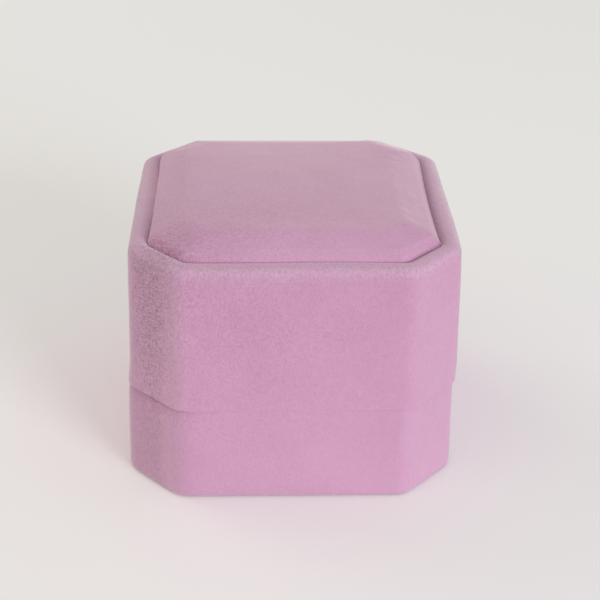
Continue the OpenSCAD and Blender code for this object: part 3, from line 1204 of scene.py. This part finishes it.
def lay_wrap(name, outside, back, seed, shift, extra, opened_above):
    """A strip of velvet: an outside that is shifted and wavy, and a plain glued back."""
    rows = np.concatenate([rows_of(outside, shift, share=hem_share), rows_of(back)])
    shown = [1.0] * len(outside) + [0.0] * len(back)
    shown[0] = shown[len(outside) - 1] = 0.0
    opened, ruffled = opened_at_bends(rows, opened_above), ruffled_at(rows)
    front_rows = np.array(shown)[:, None] > 0
    rows[..., 2] -= np.where(front_rows, rim_sag(rows), 0.0)
    rows[..., 0] += np.where(front_rows, rim_bow(rows), 0.0)
    piece = new_piece(name, cloth_mesh(laid(rows, seed, shown, extra)))
    # grey tips at bends and edges, partly a painted sheen
    paint(piece, "opened", opened)
    # ruffled pile, which also sets a painted shade
    paint(piece, "ruffled", ruffled)
    # painted highlight beside the left front upright edge
    paint(piece, "stroked", stroked_edge(rows))
    soften(piece)
    return piece


# %% Lay the lid's wrap
LID_PLAY = 0.45
LID_JOINT_X = -7.0
LID_SEED = 1


def lid_relief(point):
    return lapped_joint(point, LID_JOINT_X) + fuller_middle(point) + pinched(point)


lid_wrap = lay_wrap("lid_wrap", lid_outside(), lid_back(), seed=LID_SEED,
                    shift=(LID_PLAY, 0.0), extra=lid_relief, opened_above=RIM - 2 * RIM_ROUND)
dress(lid_wrap, "lid", "lid_velvet", outer_velvet)

# %% [markdown]
# ## The base's wrap and the sheet under it
#
# The base is wrapped in the same way: turned under the foot, up the wall, over the rim that the
# lid rests on and down inside, where the collar hides the raw edge. The base spreads by half a
# millimetre towards the table. Under the foot the cloth has to be taken in at each of the eight
# corners, which leaves a short mitred fold. A cut sheet of velvet fills the rest of the underside.
# At the left front chamfer the upper edge is pressed in a little, and a shadow is painted under
# the lid's edge there, fainter down that chamfer of the base.

# %% Profile of the base's wrap
BASE_REVEAL = 0.2
FOOT_FLARE = 0.5
FOOT_ROUND = 1.1
FOOT_HEM = 7.0
COLLAR_FACE = 4.3
BASE_WALL = 3.5


def base_face(height):
    """Inset of the base's outer face at a height."""
    return BASE_REVEAL - FOOT_FLARE * (1 - height / SEAM)


def base_outside():
    foot_inset = base_face(FOOT_ROUND) + FOOT_ROUND
    lip_inset = base_face(SEAM - LIP) + LIP
    return joined(
        run((FOOT_HEM, 0.0), (foot_inset, 0.0)),
        bend(foot_inset, FOOT_ROUND, FOOT_ROUND, -90, 0),
        run((foot_inset - FOOT_ROUND, FOOT_ROUND), (base_face(SEAM - LIP), SEAM - LIP)),
        bend(lip_inset, SEAM - LIP, LIP, 0, 90, steps=3),
        run((lip_inset, SEAM), (COLLAR_FACE, SEAM), spacing=2.0),
    )


def base_back():
    return joined(
        run((COLLAR_FACE, SEAM), (COLLAR_FACE, HEM_FOOT), spacing=2.0),
        run((BASE_WALL, HEM_FOOT), (BASE_WALL, SEAM - VELVET), spacing=5.0),
        run((BASE_REVEAL + VELVET, SEAM - VELVET), (base_face(0) + VELVET, VELVET), spacing=6.0),
        run((FOOT_HEM, VELVET), (FOOT_HEM, VELVET / 2), spacing=2.0),
    )


print("base's profile:", len(base_outside()), "points outside and", len(base_back()), "behind")

# %% Mitred folds under the foot
MITRE_DEPTH = 0.3
MITRE_WIDTH = 0.45


def mitre(point):
    """Depth of the mitred folds under the foot, which run along the corners' bisectors."""
    x, y, z = point
    turn = math.atan2(y, x) / EIGHTH
    off = (turn - math.floor(turn) - 0.5) * EIGHTH * math.hypot(x, y)
    return MITRE_DEPTH * math.exp(-(off / MITRE_WIDTH) ** 2) if z < SAME_POINT else 0.0


print("eight folds,", MITRE_DEPTH, "mm deep")

# %% Pressed edge and painted shadow at the left front
PRESSED_MIDDLE = 50.5
PRESSED_REACH = 6.0
PRESSED_DEPTH = 0.34
PRESSED_HIGH = 1.1
PRESSED_PILE_REACH = 2.8
PRESSED_WALL = 0.5


def pressed_edge(point):
    """The base's upper edge is pressed in a little at the left front chamfer."""
    x, y, z = point
    below = max(0.0, SEAM - z)
    across = (x + y + PRESSED_MIDDLE) / PRESSED_REACH
    if across > 1.0 or abs(x - y) > BOX_HALF:
        return 0.0
    return PRESSED_DEPTH * math.exp(-(below / PRESSED_HIGH) ** 2) * math.exp(-across ** 2)


def pressed_pile(points):
    """A painted shadow at the left front chamfer, darkest under the lid's edge, fainter down the
    wall.
    """
    across = (points[:, 0] + points[:, 1] + PRESSED_MIDDLE) / PRESSED_PILE_REACH
    below = np.maximum(0.0, SEAM - points[:, 2]) / PRESSED_HIGH
    edge = PRESSED_WALL + (1 - PRESSED_WALL) * np.exp(-below ** 2)
    return edge * np.exp(-np.maximum(0.0, across) ** 2)


print("the edge is pressed in by", PRESSED_DEPTH, "mm")

# %% Lay the base's wrap
BASE_JOINT_X = 4.5
BASE_SEED = 2
ABOVE_TABLE = 2.0


def base_relief(point):
    """The wrap's relief, fading out where the base stands on the table."""
    rising = min(1.0, max(0.0, point[2] / ABOVE_TABLE))
    full = lapped_joint(point, BASE_JOINT_X) + fuller_middle(point) - pressed_edge(point)
    return full * rising - waviness(point, BASE_SEED) * (1 - rising) - mitre(point)


base_wrap = lay_wrap("base_wrap", base_outside(), base_back(), seed=BASE_SEED,
                     shift=(0.0, 0.0), extra=base_relief, opened_above=SEAM)
# painted shadow under the lid's edge at the left front chamfer
paint(base_wrap, "pressed", pressed_pile(points_of(base_wrap.data) / MM))
dress(base_wrap, "base", "base_velvet", outer_velvet)

# %% Sheet of velvet under the base
UNDERSIDE_GAP = 0.15
SHEET_SIZES = (0.04, 0.15, 0.3, 0.45, 0.6, 0.75, 0.9, 0.985, 1.0)


def flat_sheet(name, inset, low, high):
    """A level sheet of cloth with a cut edge, as rings that shrink towards the middle."""
    outline = octagon(inset, INNER_ROUND)
    rows = [np.column_stack([outline * s, np.full(AROUND, low)]) for s in SHEET_SIZES]
    rows += [np.column_stack([outline * s, np.full(AROUND, high)]) for s in reversed(SHEET_SIZES)]
    return new_piece(name, cloth_mesh(np.array(rows), closed=False))


under_sheet = flat_sheet("under_sheet", FOOT_HEM + UNDERSIDE_GAP, 0.0, VELVET)
dress(under_sheet, "base", "bottom_velvet", outer_velvet)

# %% [markdown]
# ## The collar
#
# The collar stands up inside the base, and the lid slides over it. It is a board sleeve covered
# with velvet on both sides and over its rounded top edge.

# %% Lay the collar's velvet
COLLAR_HOLLOW = 7.5
COLLAR_ROUND = 1.3
COLLAR_SEED = 4
COLLAR_SMOOTHED = 0.5


def collar_outside():
    return joined(
        run((COLLAR_FACE, HEM_FOOT), (COLLAR_FACE, COLLAR_TOP - COLLAR_ROUND)),
        bend(COLLAR_FACE + COLLAR_ROUND, COLLAR_TOP - COLLAR_ROUND, COLLAR_ROUND, 0, 90),
        bend(COLLAR_HOLLOW - COLLAR_ROUND, COLLAR_TOP - COLLAR_ROUND, COLLAR_ROUND, 90, 180),
        run((COLLAR_HOLLOW, COLLAR_TOP - COLLAR_ROUND), (COLLAR_HOLLOW, CUSHION_FOOT)),
    )


def collar_back():
    board_face, board_back = COLLAR_FACE + VELVET, COLLAR_HOLLOW - VELVET
    return joined(
        run((board_back, CUSHION_FOOT), (board_back, COLLAR_TOP - VELVET), spacing=5.0),
        run((board_face, COLLAR_TOP - VELVET), (board_face, HEM_FOOT), spacing=5.0),
    )


def collar_relief(point):
    """Takes away half of the waviness, so that the lid still slides."""
    return -COLLAR_SMOOTHED * waviness(point, COLLAR_SEED)


collar_wrap = lay_wrap("collar_wrap", collar_outside(), collar_back(), seed=COLLAR_SEED,
                       shift=(0.0, 0.0), extra=collar_relief,
                       opened_above=COLLAR_TOP - 2 * COLLAR_ROUND)
dress(collar_wrap, "base", "collar_velvet", inner_velvet)

# %% [markdown]
# ## Padding by cloth simulation
#
# The top pad, the two ring rolls and the ceiling panel are foam under a stretched cover. The
# honest way to get their shape is to let a cloth swell: the cover starts a little too small, its
# glued edge is pinned, and a gentle pressure acts for a few frames. Foam holds a cover out from
# behind, so a point keeps only the part of its move that goes outward, up to a cap, and is pulled
# in by very little; at the end, no point may lie closer to the foam than a small clearance.
# Cloth settings are made for things a metre in size, so the piece is enlarged for the simulation
# and brought back after it. A voxel remesh first gives the cover even quads, and each new point
# is laid back on the true surface, so the remesh leaves no steps.

# %% Even quads for a cover
SIM_SCALE = 20.0
SIM_FRAMES = 20
SIM_QUALITY = 6
COVER_STIFFNESS = 12.0
COVER_BENDING = 0.4
PULL_IN = 0.06


def surface_of(mesh, place=None):
    """A searchable surface of a mesh, moved to where its object stands."""
    bm = bmesh.new()
    bm.from_mesh(mesh)
    if place is not None:
        bm.transform(place)
    surface = BVHTree.FromBMesh(bm)
    bm.free()
    return surface


def remeshed(piece, voxel):
    """Even quads over a closed piece, laid back on its true surface; voxel is in millimetres."""
    surface = surface_of(piece.data)
    modifier = piece.modifiers.new("even", "REMESH")
    modifier.mode = "VOXEL"
    modifier.voxel_size = voxel * MM * SIM_SCALE
    mesh = evaluated_mesh(piece)
    piece.modifiers.remove(modifier)
    piece.data = mesh
    set_points(mesh, np.array([surface.find_nearest(Vector(p))[0] for p in points_of(mesh)]))


# %% Hold a cover out
CORE_REACH = 3.0
SPREAD_ROUNDS = 14


def held_out(piece, core, gap):
    """Foam holds its cover out: no point of the piece stays closer to the core than gap."""
    solid = frame["nodes"][core]
    surface = surface_of(solid.data, solid.matrix_world)
    points = points_of(piece.data)
    normals = normals_of(piece.data)
    lifts = np.zeros(len(points))
    for i, point in enumerate(points):
        nearest, normal, _, _ = surface.find_nearest(Vector(point))
        away = Vector(point) - nearest
        if away.length < CORE_REACH * MM:
            lifts[i] = max(0.0, gap * MM - away.dot(normal))
    ends = np.empty(len(piece.data.edges) * 2, dtype=np.int32)
    piece.data.edges.foreach_get("vertices", ends)
    ends = ends.reshape(-1, 2)
    count = np.bincount(ends.ravel(), minlength=len(points))
    needed = lifts.copy()
    for _ in range(SPREAD_ROUNDS):
        total = np.bincount(ends[:, 0], lifts[ends[:, 1]], len(points))
        total += np.bincount(ends[:, 1], lifts[ends[:, 0]], len(points))
        lifts = np.maximum(needed, total / count)
    set_points(piece.data, points + normals * lifts[:, None])
    print(piece.name, "held out at", int((needed > 0).sum()), "points, by at most",
          round(float(needed.max()) / MM, 2), "mm")


# %% Let a cover swell
def swollen_points(piece, pinned, pressure):
    """Where cloth simulation takes the points of a cover that is pinned at some of them."""
    start = points_of(piece.data)
    glued = piece.vertex_groups.new(name="glued")
    held = [i for i, p in enumerate(start) if pinned(p / MM / SIM_SCALE)]
    glued.add(held, 1.0, "REPLACE")
    cloth = piece.modifiers.new("cover", "CLOTH")
    cloth.settings.quality = SIM_QUALITY
    cloth.settings.vertex_group_mass = "glued"
    cloth.settings.use_pressure = True
    cloth.settings.uniform_pressure_force = pressure
    cloth.settings.effector_weights.gravity = 0.0
    cloth.settings.tension_stiffness = COVER_STIFFNESS
    cloth.settings.compression_stiffness = COVER_STIFFNESS
    cloth.settings.bending_stiffness = COVER_BENDING
    for number in range(1, SIM_FRAMES + 1):
        bpy.context.scene.frame_set(number)
    swollen = points_of(evaluated_mesh(piece))
    piece.modifiers.remove(cloth)
    piece.vertex_groups.clear()
    return swollen


def swell(piece, voxel, pinned, pressure, cap):
    """Inflates a closed cover. pinned(point in mm) says where it is glued; cap is in mm."""
    piece.data.transform(Matrix.Scale(SIM_SCALE, 4))
    remeshed(piece, voxel)
    start = points_of(piece.data)
    normals = normals_of(piece.data)
    moves = ((swollen_points(piece, pinned, pressure) - start) * normals).sum(axis=1)
    unit = MM * SIM_SCALE
    kept = np.where(moves > 0, cap * unit * np.tanh(moves / (cap * unit)),
                    np.maximum(moves, -PULL_IN * unit))
    set_points(piece.data, start + normals * kept[:, None])
    print(piece.name, "swelled by at most", round(float(moves.max()) / unit, 2), "mm")
    piece.data.transform(Matrix.Scale(1 / SIM_SCALE, 4))
    soften(piece, applied=True)
    piece.data.shade_smooth()


# %% [markdown]
# ## The top pad
#
# The pad fills the tray inside the rim and stands a little above it, like a pillow: it comes up
# out of the groove, turns over a wide soft shoulder and rises slowly to the middle. It bulges
# over the rim in front and is a little fuller at the right back corner. At the corners the
# cover's fullness is taken in by small pleats, most of all at the left front corner.

# %% Rings of a crown
CROWN_SIZES = (0.9, 0.8, 0.7, 0.55, 0.4, 0.25, 0.1)


def crowned_rows(sides, shoulder, rise, middle=(0.0, 0.0)):
    """Rings that shrink to a small flat while they rise, above a shoulder's last ring."""
    rows = []
    centre = np.array(middle)
    for size in CROWN_SIZES:
        ring = centre + (sides - centre) * size
        rows.append(np.column_stack([ring, np.full(len(ring), shoulder + rise * (1 - size**2))]))
    return np.array(rows)


print("rings in a crown:", len(CROWN_SIZES))


# %% Shape and swell the top pad
PAD_FACE = 3.7
PAD_SHIFT = 0.36
PAD_EDGE_ROUND = 3.0
PAD_SHOULDER_FOOT = 44.7
PAD_SHOULDER_WIDE = 8.0
PAD_SHOULDER_HIGH = 4.7
PAD_FULLNESS = 1.92
PAD_CROWN = 0.45
PAD_SWELL = 0.2
PAD_VOXEL = 0.8
PAD_GRIP = 0.9
PAD_PRESSURE = 4.0
PAD_STEPS = 14


def pad_outline(inset):
    return octagon(inset, PAD_EDGE_ROUND)


def pad_rows():
    profile = joined(
        run((PAD_FACE, TRAY_FLOOR), (PAD_FACE, PAD_SHOULDER_FOOT)),
        pillow(PAD_FACE, PAD_SHOULDER_FOOT, PAD_SHOULDER_WIDE, PAD_SHOULDER_HIGH, PAD_FULLNESS,
               PAD_STEPS),
    )
    shift = np.array((PAD_SHIFT, 0.0))
    crown = crowned_rows(pad_outline(PAD_FACE + PAD_SHOULDER_WIDE) + shift,
                         PAD_SHOULDER_FOOT + PAD_SHOULDER_HIGH, PAD_CROWN, shift)
    return np.concatenate([rows_of(profile, shift, pad_outline), crown])


top_pad = new_piece("top_pad", cloth_mesh(pad_rows(), closed=False))
swell(top_pad, PAD_VOXEL, lambda p: p[2] < RIM - PAD_GRIP, PAD_PRESSURE, cap=PAD_SWELL)
print("top pad:", len(top_pad.data.vertices), "points")

# %% Pleats at the pad's corners
PLEAT_LENGTH = 2.1
PLEAT_FADE = 1.5
PLEAT_FAR = 6.0
PLEAT_HALF = 6.5
PLEAT_DRIFT = 1.6
PLEAT_WANDER = 3.0
PLEATS = {(-1, -1): 0.24, (1, -1): 0.03, (1, 1): 0.02, (-1, 1): 0.02}


def pleats(point):
    """Small folds where the cover is taken in at the pad's chamfers."""
    total = 0.0
    reach = side(1)[1] - PAD_FACE
    for (across, back), high in PLEATS.items():
        facing = (across * point[0] + back * point[1]) / math.sqrt(2)
        along = (back * point[0] - across * point[1]) / math.sqrt(2)
        inward = max(0.0, reach - facing)
        if abs(along) > PLEAT_HALF or inward > PLEAT_FAR:
            continue
        shown = math.exp(-inward / PLEAT_FADE) * math.cos(along / PLEAT_HALF * math.pi / 2)
        drift = PLEAT_DRIFT * noise.noise(Vector(point) / PLEAT_WANDER)
        total += high * shown * math.cos(2 * math.pi * (along + drift) / PLEAT_LENGTH)
    return total


print("pleats up to", max(PLEATS.values()), "mm high")

# %% How the pad meets the rim
PAD_BOW_MOST = 0.8
BELLY_OUT = 0.8
BELLY_MIDDLE = 1.0
BELLY_HALF = 20.0
BELLY_SQUARENESS = 8
BELLY_RISE = 0.2
BELLY_HIGH = 0.9
BACK_CORNER = (20.0, 20.5)
BACK_REACH = 8.0
BACK_LIFT = 0.2


def overhung(points):
    """The pad's sides follow the tray's, its front bulges over the rim, one corner is fuller."""
    moved = points.copy()
    moved[:, 0] += np.minimum(side_bow(points), PAD_BOW_MOST)
    front = np.clip((-points[:, 1] - BOW_FROM) / (BOX_HALF - PAD_FACE - BOW_FROM), 0, 1)
    middle = np.exp(-((points[:, 0] - BELLY_MIDDLE) / BELLY_HALF) ** BELLY_SQUARENESS)
    level_with_rim = np.exp(-((points[:, 2] - RIM - BELLY_RISE) / BELLY_HIGH) ** 2)
    moved[:, 1] -= BELLY_OUT * front * middle * level_with_rim
    away = np.hypot(points[:, 0] - BACK_CORNER[0], points[:, 1] - BACK_CORNER[1])
    above = np.clip(points[:, 2] - RIM + BELLY_HIGH, 0, 1)
    moved[:, 2] += BACK_LIFT * np.exp(-(away / BACK_REACH) ** 2) * above
    return moved


print("the pad bulges", BELLY_OUT, "mm over the rim in front")


# %% Waves of a padded piece
def padded_relief(piece, seed, waves, keep_above, extra=None):
    """Waviness along the normals of a padded piece, growing above a height in millimetres."""
    mesh = piece.data
    points = points_of(mesh)
    normals = normals_of(mesh)
    for i, point in enumerate(points / MM):
        shown = min(1.0, max(0.0, point[2] - keep_above))
        if shown > 0:
            lift = waviness(point, seed, waves) + (extra(point) if extra else 0.0)
            points[i] += normals[i] * lift * shown * MM
    set_points(mesh, points)


# %% Pile of a padded piece
PAD_OPENED = 0.25
PAD_RUFFLED = 0.12
PAD_UNTIDY = 1.05
SHOULDER_FROM, SHOULDER_FULL = 0.2, 0.8
SHOULDER_TOP = 0.2
STROKED_LINE = -24.0
STROKED_REACH = 6.5
STROKED_MIDDLE = 3.0
STROKED_HALF = 17.0
STROKED_SQUARENESS = 4


def paint_pile(piece):
    """Grey on the shoulder, where normals lie between level and upright, partly a painted sheen;
    and the ruffled pile, which sets a painted shade.
    """
    up = normals_of(piece.data)[:, 2]
    turned_up = np.clip((up - SHOULDER_FROM) / (SHOULDER_FULL - SHOULDER_FROM), 0, 1)
    shoulder = turned_up * np.clip((1 - up) / SHOULDER_TOP, 0, 1)
    # grey tips on the shoulder, partly a painted sheen
    paint(piece, "opened", PAD_OPENED * shoulder)
    # ruffled pile, which also sets a painted shade, deepest at the pad's left front corner
    ruffled = PAD_UNTIDY * ruffled_at(points_of(piece.data) / MM)
    paint(piece, "ruffled", np.maximum(ruffled, PAD_RUFFLED))


def stroked_front(points):
    """A painted highlight along the pad's front slope, fading towards both corners."""
    depth = np.exp(-((points[:, 1] - STROKED_LINE) / STROKED_REACH) ** 2)
    across = np.exp(-((points[:, 0] - STROKED_MIDDLE) / STROKED_HALF) ** STROKED_SQUARENESS)
    return depth * across


# %% Finish the top pad
COVER_CLEARANCE = 0.25
PAD_WAVES = ((19.0, 0.10), (6.0, 0.05), (2.0, 0.025))
PAD_WAVES_BELOW = 1.2
PAD_SEED = 5
set_points(top_pad.data, overhung(points_of(top_pad.data) / MM) * MM)
padded_relief(top_pad, PAD_SEED, PAD_WAVES, keep_above=RIM - PAD_WAVES_BELOW, extra=pleats)
held_out(top_pad, "top_pad_foam", COVER_CLEARANCE)
paint_pile(top_pad)
# painted highlight on the pad's front slope
paint(top_pad, "stroked", stroked_front(points_of(top_pad.data) / MM))
dress(top_pad, "lid", "top_pad_velvet", outer_velvet)

# %% [markdown]
# ## The ring cushion
#
# Two rolls of foam, each in its own velvet, are pressed side by side into the collar. The ring
# stands in the slot between them. A roll is half of the octagon, so its outline has six sides:
# five of the box's and the straight one along the slot.

# %% Outline of a roll
CUSHION_FACE = 7.9
SLOT_HALF = 2.4
ROLL_ROUND = 1.8
ROLL_SHOULDER = 3.6
ROLL_FULLNESS = 2.2
ROLL_CROWN = 1.0
ROLL_SWELL = 0.3
ROLL_GRIP = 2.0
ROLL_STEPS = (16, 6, 24, 6, 16, 30)
ROLL_MIDDLE = (0.0, (BOX_HALF - CUSHION_FACE + SLOT_HALF) / 2)


def roll_outline(inset):
    """Outline of the back roll, moved inward by inset."""
    sides = [(side(number)[0], side(number)[1] - CUSHION_FACE - inset) for number in range(5)]
    sides.append((6 * EIGHTH, -SLOT_HALF - inset))
    rounding = max(ROLL_ROUND - inset / 2, INNER_ROUND)
    arcs = [corner_arc(sides[number - 1], sides[number], rounding) for number in range(6)]
    return ring_through(arcs, ROLL_STEPS)


print("points in a roll's outline:", len(roll_outline(0.0)))


def roll_rows():
    top = ROLL_TOP - ROLL_CROWN - ROLL_SWELL
    face = ROLL_SWELL
    profile = joined(
        run((face, ROLL_FOOT), (face, top - ROLL_SHOULDER)),
        pillow(face, top - ROLL_SHOULDER, ROLL_SHOULDER, ROLL_SHOULDER, ROLL_FULLNESS),
    )
    crown = crowned_rows(roll_outline(face + ROLL_SHOULDER), top, ROLL_CROWN, ROLL_MIDDLE)
    return np.concatenate([rows_of(profile, outline=roll_outline), crown])


# %% Shape, swell and place the rolls
ROLL_WAVES = ((11.0, 0.16), (4.0, 0.06), (1.8, 0.025))
ROLL_VOXEL = 0.8
ROLL_PRESSURE = 5.0


def make_roll(name, node, turned, seed):
    rows = roll_rows()
    if turned:
        rows[:, :, :2] *= -1
    roll = new_piece(name, cloth_mesh(rows, closed=False))
    grip = ROLL_FOOT + ROLL_GRIP
    swell(roll, ROLL_VOXEL, lambda p: p[2] < grip, ROLL_PRESSURE, cap=ROLL_SWELL)
    padded_relief(roll, seed, ROLL_WAVES, keep_above=grip)
    held_out(roll, node.replace("velvet", "foam"), COVER_CLEARANCE)
    paint_pile(roll)
    dress(roll, "cushion", node, inner_velvet)


make_roll("back_roll", "back_roll_velvet", turned=False, seed=6)
make_roll("front_roll", "front_roll_velvet", turned=True, seed=7)

# %% Strip at the bottom of the slot
STRIP = 0.6
STRIP_SAG = ((-1.0, 1.0), (-0.6, 0.8), (0.0, 0.7), (0.6, 0.8), (1.0, 1.0))
STRIP_STEPS = 40


def slot_strip_mesh():
    """A strip that sags by a little between the two rolls, as sections along X."""
    reach = BOX_HALF - CUSHION_FACE
    bm = bmesh.new()
    sections = []
    for step in range(STRIP_STEPS + 1):
        x = reach * (2 * step / STRIP_STEPS - 1)
        low = [bm.verts.new((x, SLOT_HALF * y, ROLL_FOOT)) for y, _ in STRIP_SAG]
        high = [bm.verts.new((x, SLOT_HALF * y, ROLL_FOOT + STRIP * h)) for y, h in STRIP_SAG]
        sections.append(low + high[::-1])
    for near, far in zip(sections, sections[1:]):
        for i in range(len(near)):
            j = (i + 1) % len(near)
            bm.faces.new((near[i], near[j], far[j], far[i]))
    bm.faces.new(sections[0])
    bm.faces.new(reversed(sections[-1]))
    return bm


slot_floor = new_piece("slot_floor", slot_strip_mesh())
dress(slot_floor, "cushion", "slot_strip", inner_velvet)

# %% [markdown]
# ## The lid's lining
#
# Inside the lid a band of satin on board runs round the wall above the collar, and a thin padded
# panel closes the ceiling. The satin of the band has faint upright waves, because it is wrapped
# round a board that turns eight corners.

# %% Lay the lining
LINING_BACK = 3.8
LINING_FACE = 4.1
LINING_SPACING = 1.4
RIPPLE = 0.05
RIPPLES = 46
RIPPLE_LENGTH = 6.0


def lay_lining():
    rows = rows_of(joined(
        run((LINING_BACK, LINING_FOOT), (LINING_BACK, CEILING), spacing=LINING_SPACING),
        run((LINING_FACE, CEILING), (LINING_FACE, LINING_FOOT), spacing=LINING_SPACING),
    ))
    for row in rows:
        for point in row:
            angle = math.atan2(point[1], point[0])
            strength = noise.noise(Vector(point) / RIPPLE_LENGTH)
            point[:2] *= 1 + RIPPLE * math.sin(angle * RIPPLES) * strength / BOX_HALF
    return new_piece("satin_band", cloth_mesh(rows))


satin_band = lay_lining()
dress(satin_band, "lid", "lining_satin", blush_satin)

# %% Swell the ceiling panel
CEILING_FACE = 4.3
CEILING_ROUND = 0.9
CEILING_CROWN = 0.25
CEILING_SWELL = 0.2
CEILING_VOXEL = 0.9
CEILING_GRIP = 1.0
CEILING_PRESSURE = 4.0


def ceiling_rows():
    foot = CEILING_FOOT + CEILING_SWELL + CEILING_CROWN
    profile = joined(
        run((CEILING_FACE, CEILING), (CEILING_FACE, foot + CEILING_ROUND)),
        bend(CEILING_FACE + CEILING_ROUND, foot + CEILING_ROUND, CEILING_ROUND, 0, -90),
    )
    crown = crowned_rows(octagon(CEILING_FACE + CEILING_ROUND), foot, -CEILING_CROWN)
    return np.concatenate([rows_of(profile), crown])


ceiling_panel = new_piece("ceiling_panel", cloth_mesh(ceiling_rows(), closed=False))
swell(ceiling_panel, CEILING_VOXEL, lambda p: p[2] > CEILING - CEILING_GRIP, CEILING_PRESSURE,
      cap=CEILING_SWELL)
held_out(ceiling_panel, "ceiling_foam", COVER_CLEARANCE / 2)
dress(ceiling_panel, "lid", "ceiling_satin", blush_satin)

# %% [markdown]
# ## The solids that stay
#
# The shells, the boards and the foam have the right shape already. They only need their finishes.

# %% Finishes for the solids that stay
FINISHES = {
    "shell_plastic": moulded_shell, "board": grey_board, "foam": white_foam,
    "outer_velvet": outer_velvet, "inner_velvet": inner_velvet, "lining_satin": blush_satin,
}
for entry in frame["record"]["subparts"]:
    solid = frame["nodes"][entry["node"]]
    solid.data.materials.clear()
    solid.data.materials.append(FINISHES[entry["material_slot"]])

# %% [markdown]
# ## The cut sizes of the cloth
#
# A cloth maker would want to know what to cut. The size of each glued sheet's flat cut is
# printed.

def strip_length(inset):
    """Length once round the octagon, in metres."""
    outline = octagon(inset)
    return float(np.linalg.norm(np.roll(outline, -1, axis=0) - outline, axis=1).sum()) * MM


def profile_length(profile):
    return sum(math.dist(a, b) for a, b in zip(profile, profile[1:])) * MM


lid_cut = (profile_length(lid_outside()) + (LID_HEM_TOP - SEAM + LID_HEM_FACE) * MM,
           strip_length(0.0))
base_cut = (profile_length(base_outside()) + (SEAM - HEM_FOOT) * MM, strip_length(0.0))
collar_cut = (profile_length(collar_outside()), strip_length(COLLAR_FACE))
under_cut = (2 * (BOX_HALF - FOOT_HEM) * MM,) * 2
band_cut = ((CEILING - LINING_FOOT) * MM, strip_length(LINING_FACE))
for name, cut in (("lid", lid_cut), ("base", base_cut), ("collar", collar_cut),
                  ("underside", under_cut), ("band", band_cut)):
    print(name, "cut", [round(c / MM) for c in cut], "mm")

# %% [markdown]
# ## Floor and light
#
# The box stands on a plain pale floor. A large lamp to the right and in front, low over the table,
# gives soft shape to the eight sides, a weak warm one opposite keeps the left chamfer readable,
# one behind on the left catches the pile along the edges, and a pale surrounding fills the
# shadows. To the camera the floor looks paler than it is for the light that it gives back, so the
# box isn't flooded from below. It is clear from below, so that the underside can be looked at.

# %% Floor
FLOOR_HALF = 3.0
FLOOR_GIVES = 0.74
FLOOR_LOOKS = 1.0
FLOOR_ROUGHNESS = 0.9
FLOOR_SHINE = 0.1


def build_floor_finish():
    material, tree, shader, _ = finish_named("pale_floor")
    path = tree.nodes.new("ShaderNodeLightPath")
    seen = math_node(tree, "MAXIMUM", path.outputs["Is Camera Ray"],
                     math_node(tree, "MAXIMUM", path.outputs["Is Glossy Ray"],
                               path.outputs["Is Transmission Ray"]))
    tone = mixed(tree, seen, (FLOOR_GIVES,) * 3, (FLOOR_LOOKS,) * 3)
    tree.links.new(tone, shader.inputs["Base Color"])
    shader.inputs["Roughness"].default_value = FLOOR_ROUGHNESS
    shader.inputs["Specular IOR Level"].default_value = FLOOR_SHINE
    facing = tree.nodes.new("ShaderNodeNewGeometry")
    clear = tree.nodes.new("ShaderNodeBsdfTransparent")
    either = tree.nodes.new("ShaderNodeMixShader")
    tree.links.new(facing.outputs["Backfacing"], either.inputs[0])
    tree.links.new(shader.outputs[0], either.inputs[1])
    tree.links.new(clear.outputs[0], either.inputs[2])
    tree.links.new(either.outputs[0], tree.nodes["Material Output"].inputs["Surface"])
    return material


def make_floor():
    bm = bmesh.new()
    reach = FLOOR_HALF / MM
    bm.faces.new([bm.verts.new((x * reach, y * reach, 0.0))
                  for x, y in ((-1, -1), (1, -1), (1, 1), (-1, 1))])
    floor = new_piece("floor", bm)
    floor.data.materials.append(build_floor_finish())
    return floor


floor = make_floor()
print("floor:", 2 * FLOOR_HALF, "m across")


# %% Lights
def soft_lamp(name, place, size, power, colour):
    """A square area lamp that faces the middle of the box. Place and size are in metres."""
    data = bpy.data.lights.new(name, "AREA")
    data.shape = "SQUARE"
    data.size = size
    data.energy = power
    data.color = colour
    lamp = bpy.data.objects.new(name, data)
    lamp.location = place
    towards = Vector((0.0, 0.0, RIM * MM / 2)) - Vector(place)
    lamp.rotation_mode = "QUATERNION"
    lamp.rotation_quaternion = towards.to_track_quat("-Z", "Y")
    bpy.context.scene.collection.objects.link(lamp)
    return lamp


window = soft_lamp("window", place=(0.70, -0.90, 0.30), size=0.5, power=7.0,
                   colour=(1.0, 1.0, 1.03))
bounce = soft_lamp("bounce", place=(-0.9, -0.5, 0.4), size=0.9, power=1.05,
                   colour=(1.0, 0.72, 0.42))
behind = soft_lamp("behind", place=(-0.95, 0.65, 0.32), size=0.8, power=4.0,
                   colour=(1.0, 0.90, 0.79))
print("lamps:", [round(lamp.data.energy, 1) for lamp in (window, bounce, behind)], "W")

# %% Surroundings
SURROUND_COLOUR = (0.98, 0.975, 0.95, 1.0)
SURROUND_STRENGTH = 0.60
world = bpy.data.worlds.new("pale_room")
world.use_nodes = True
surround = world.node_tree.nodes["Background"]
surround.inputs["Color"].default_value = SURROUND_COLOUR
surround.inputs["Strength"].default_value = SURROUND_STRENGTH
bpy.context.scene.world = world
bpy.context.scene.view_settings.view_transform = "Standard"
print("surroundings:", world.name, "at", SURROUND_STRENGTH)
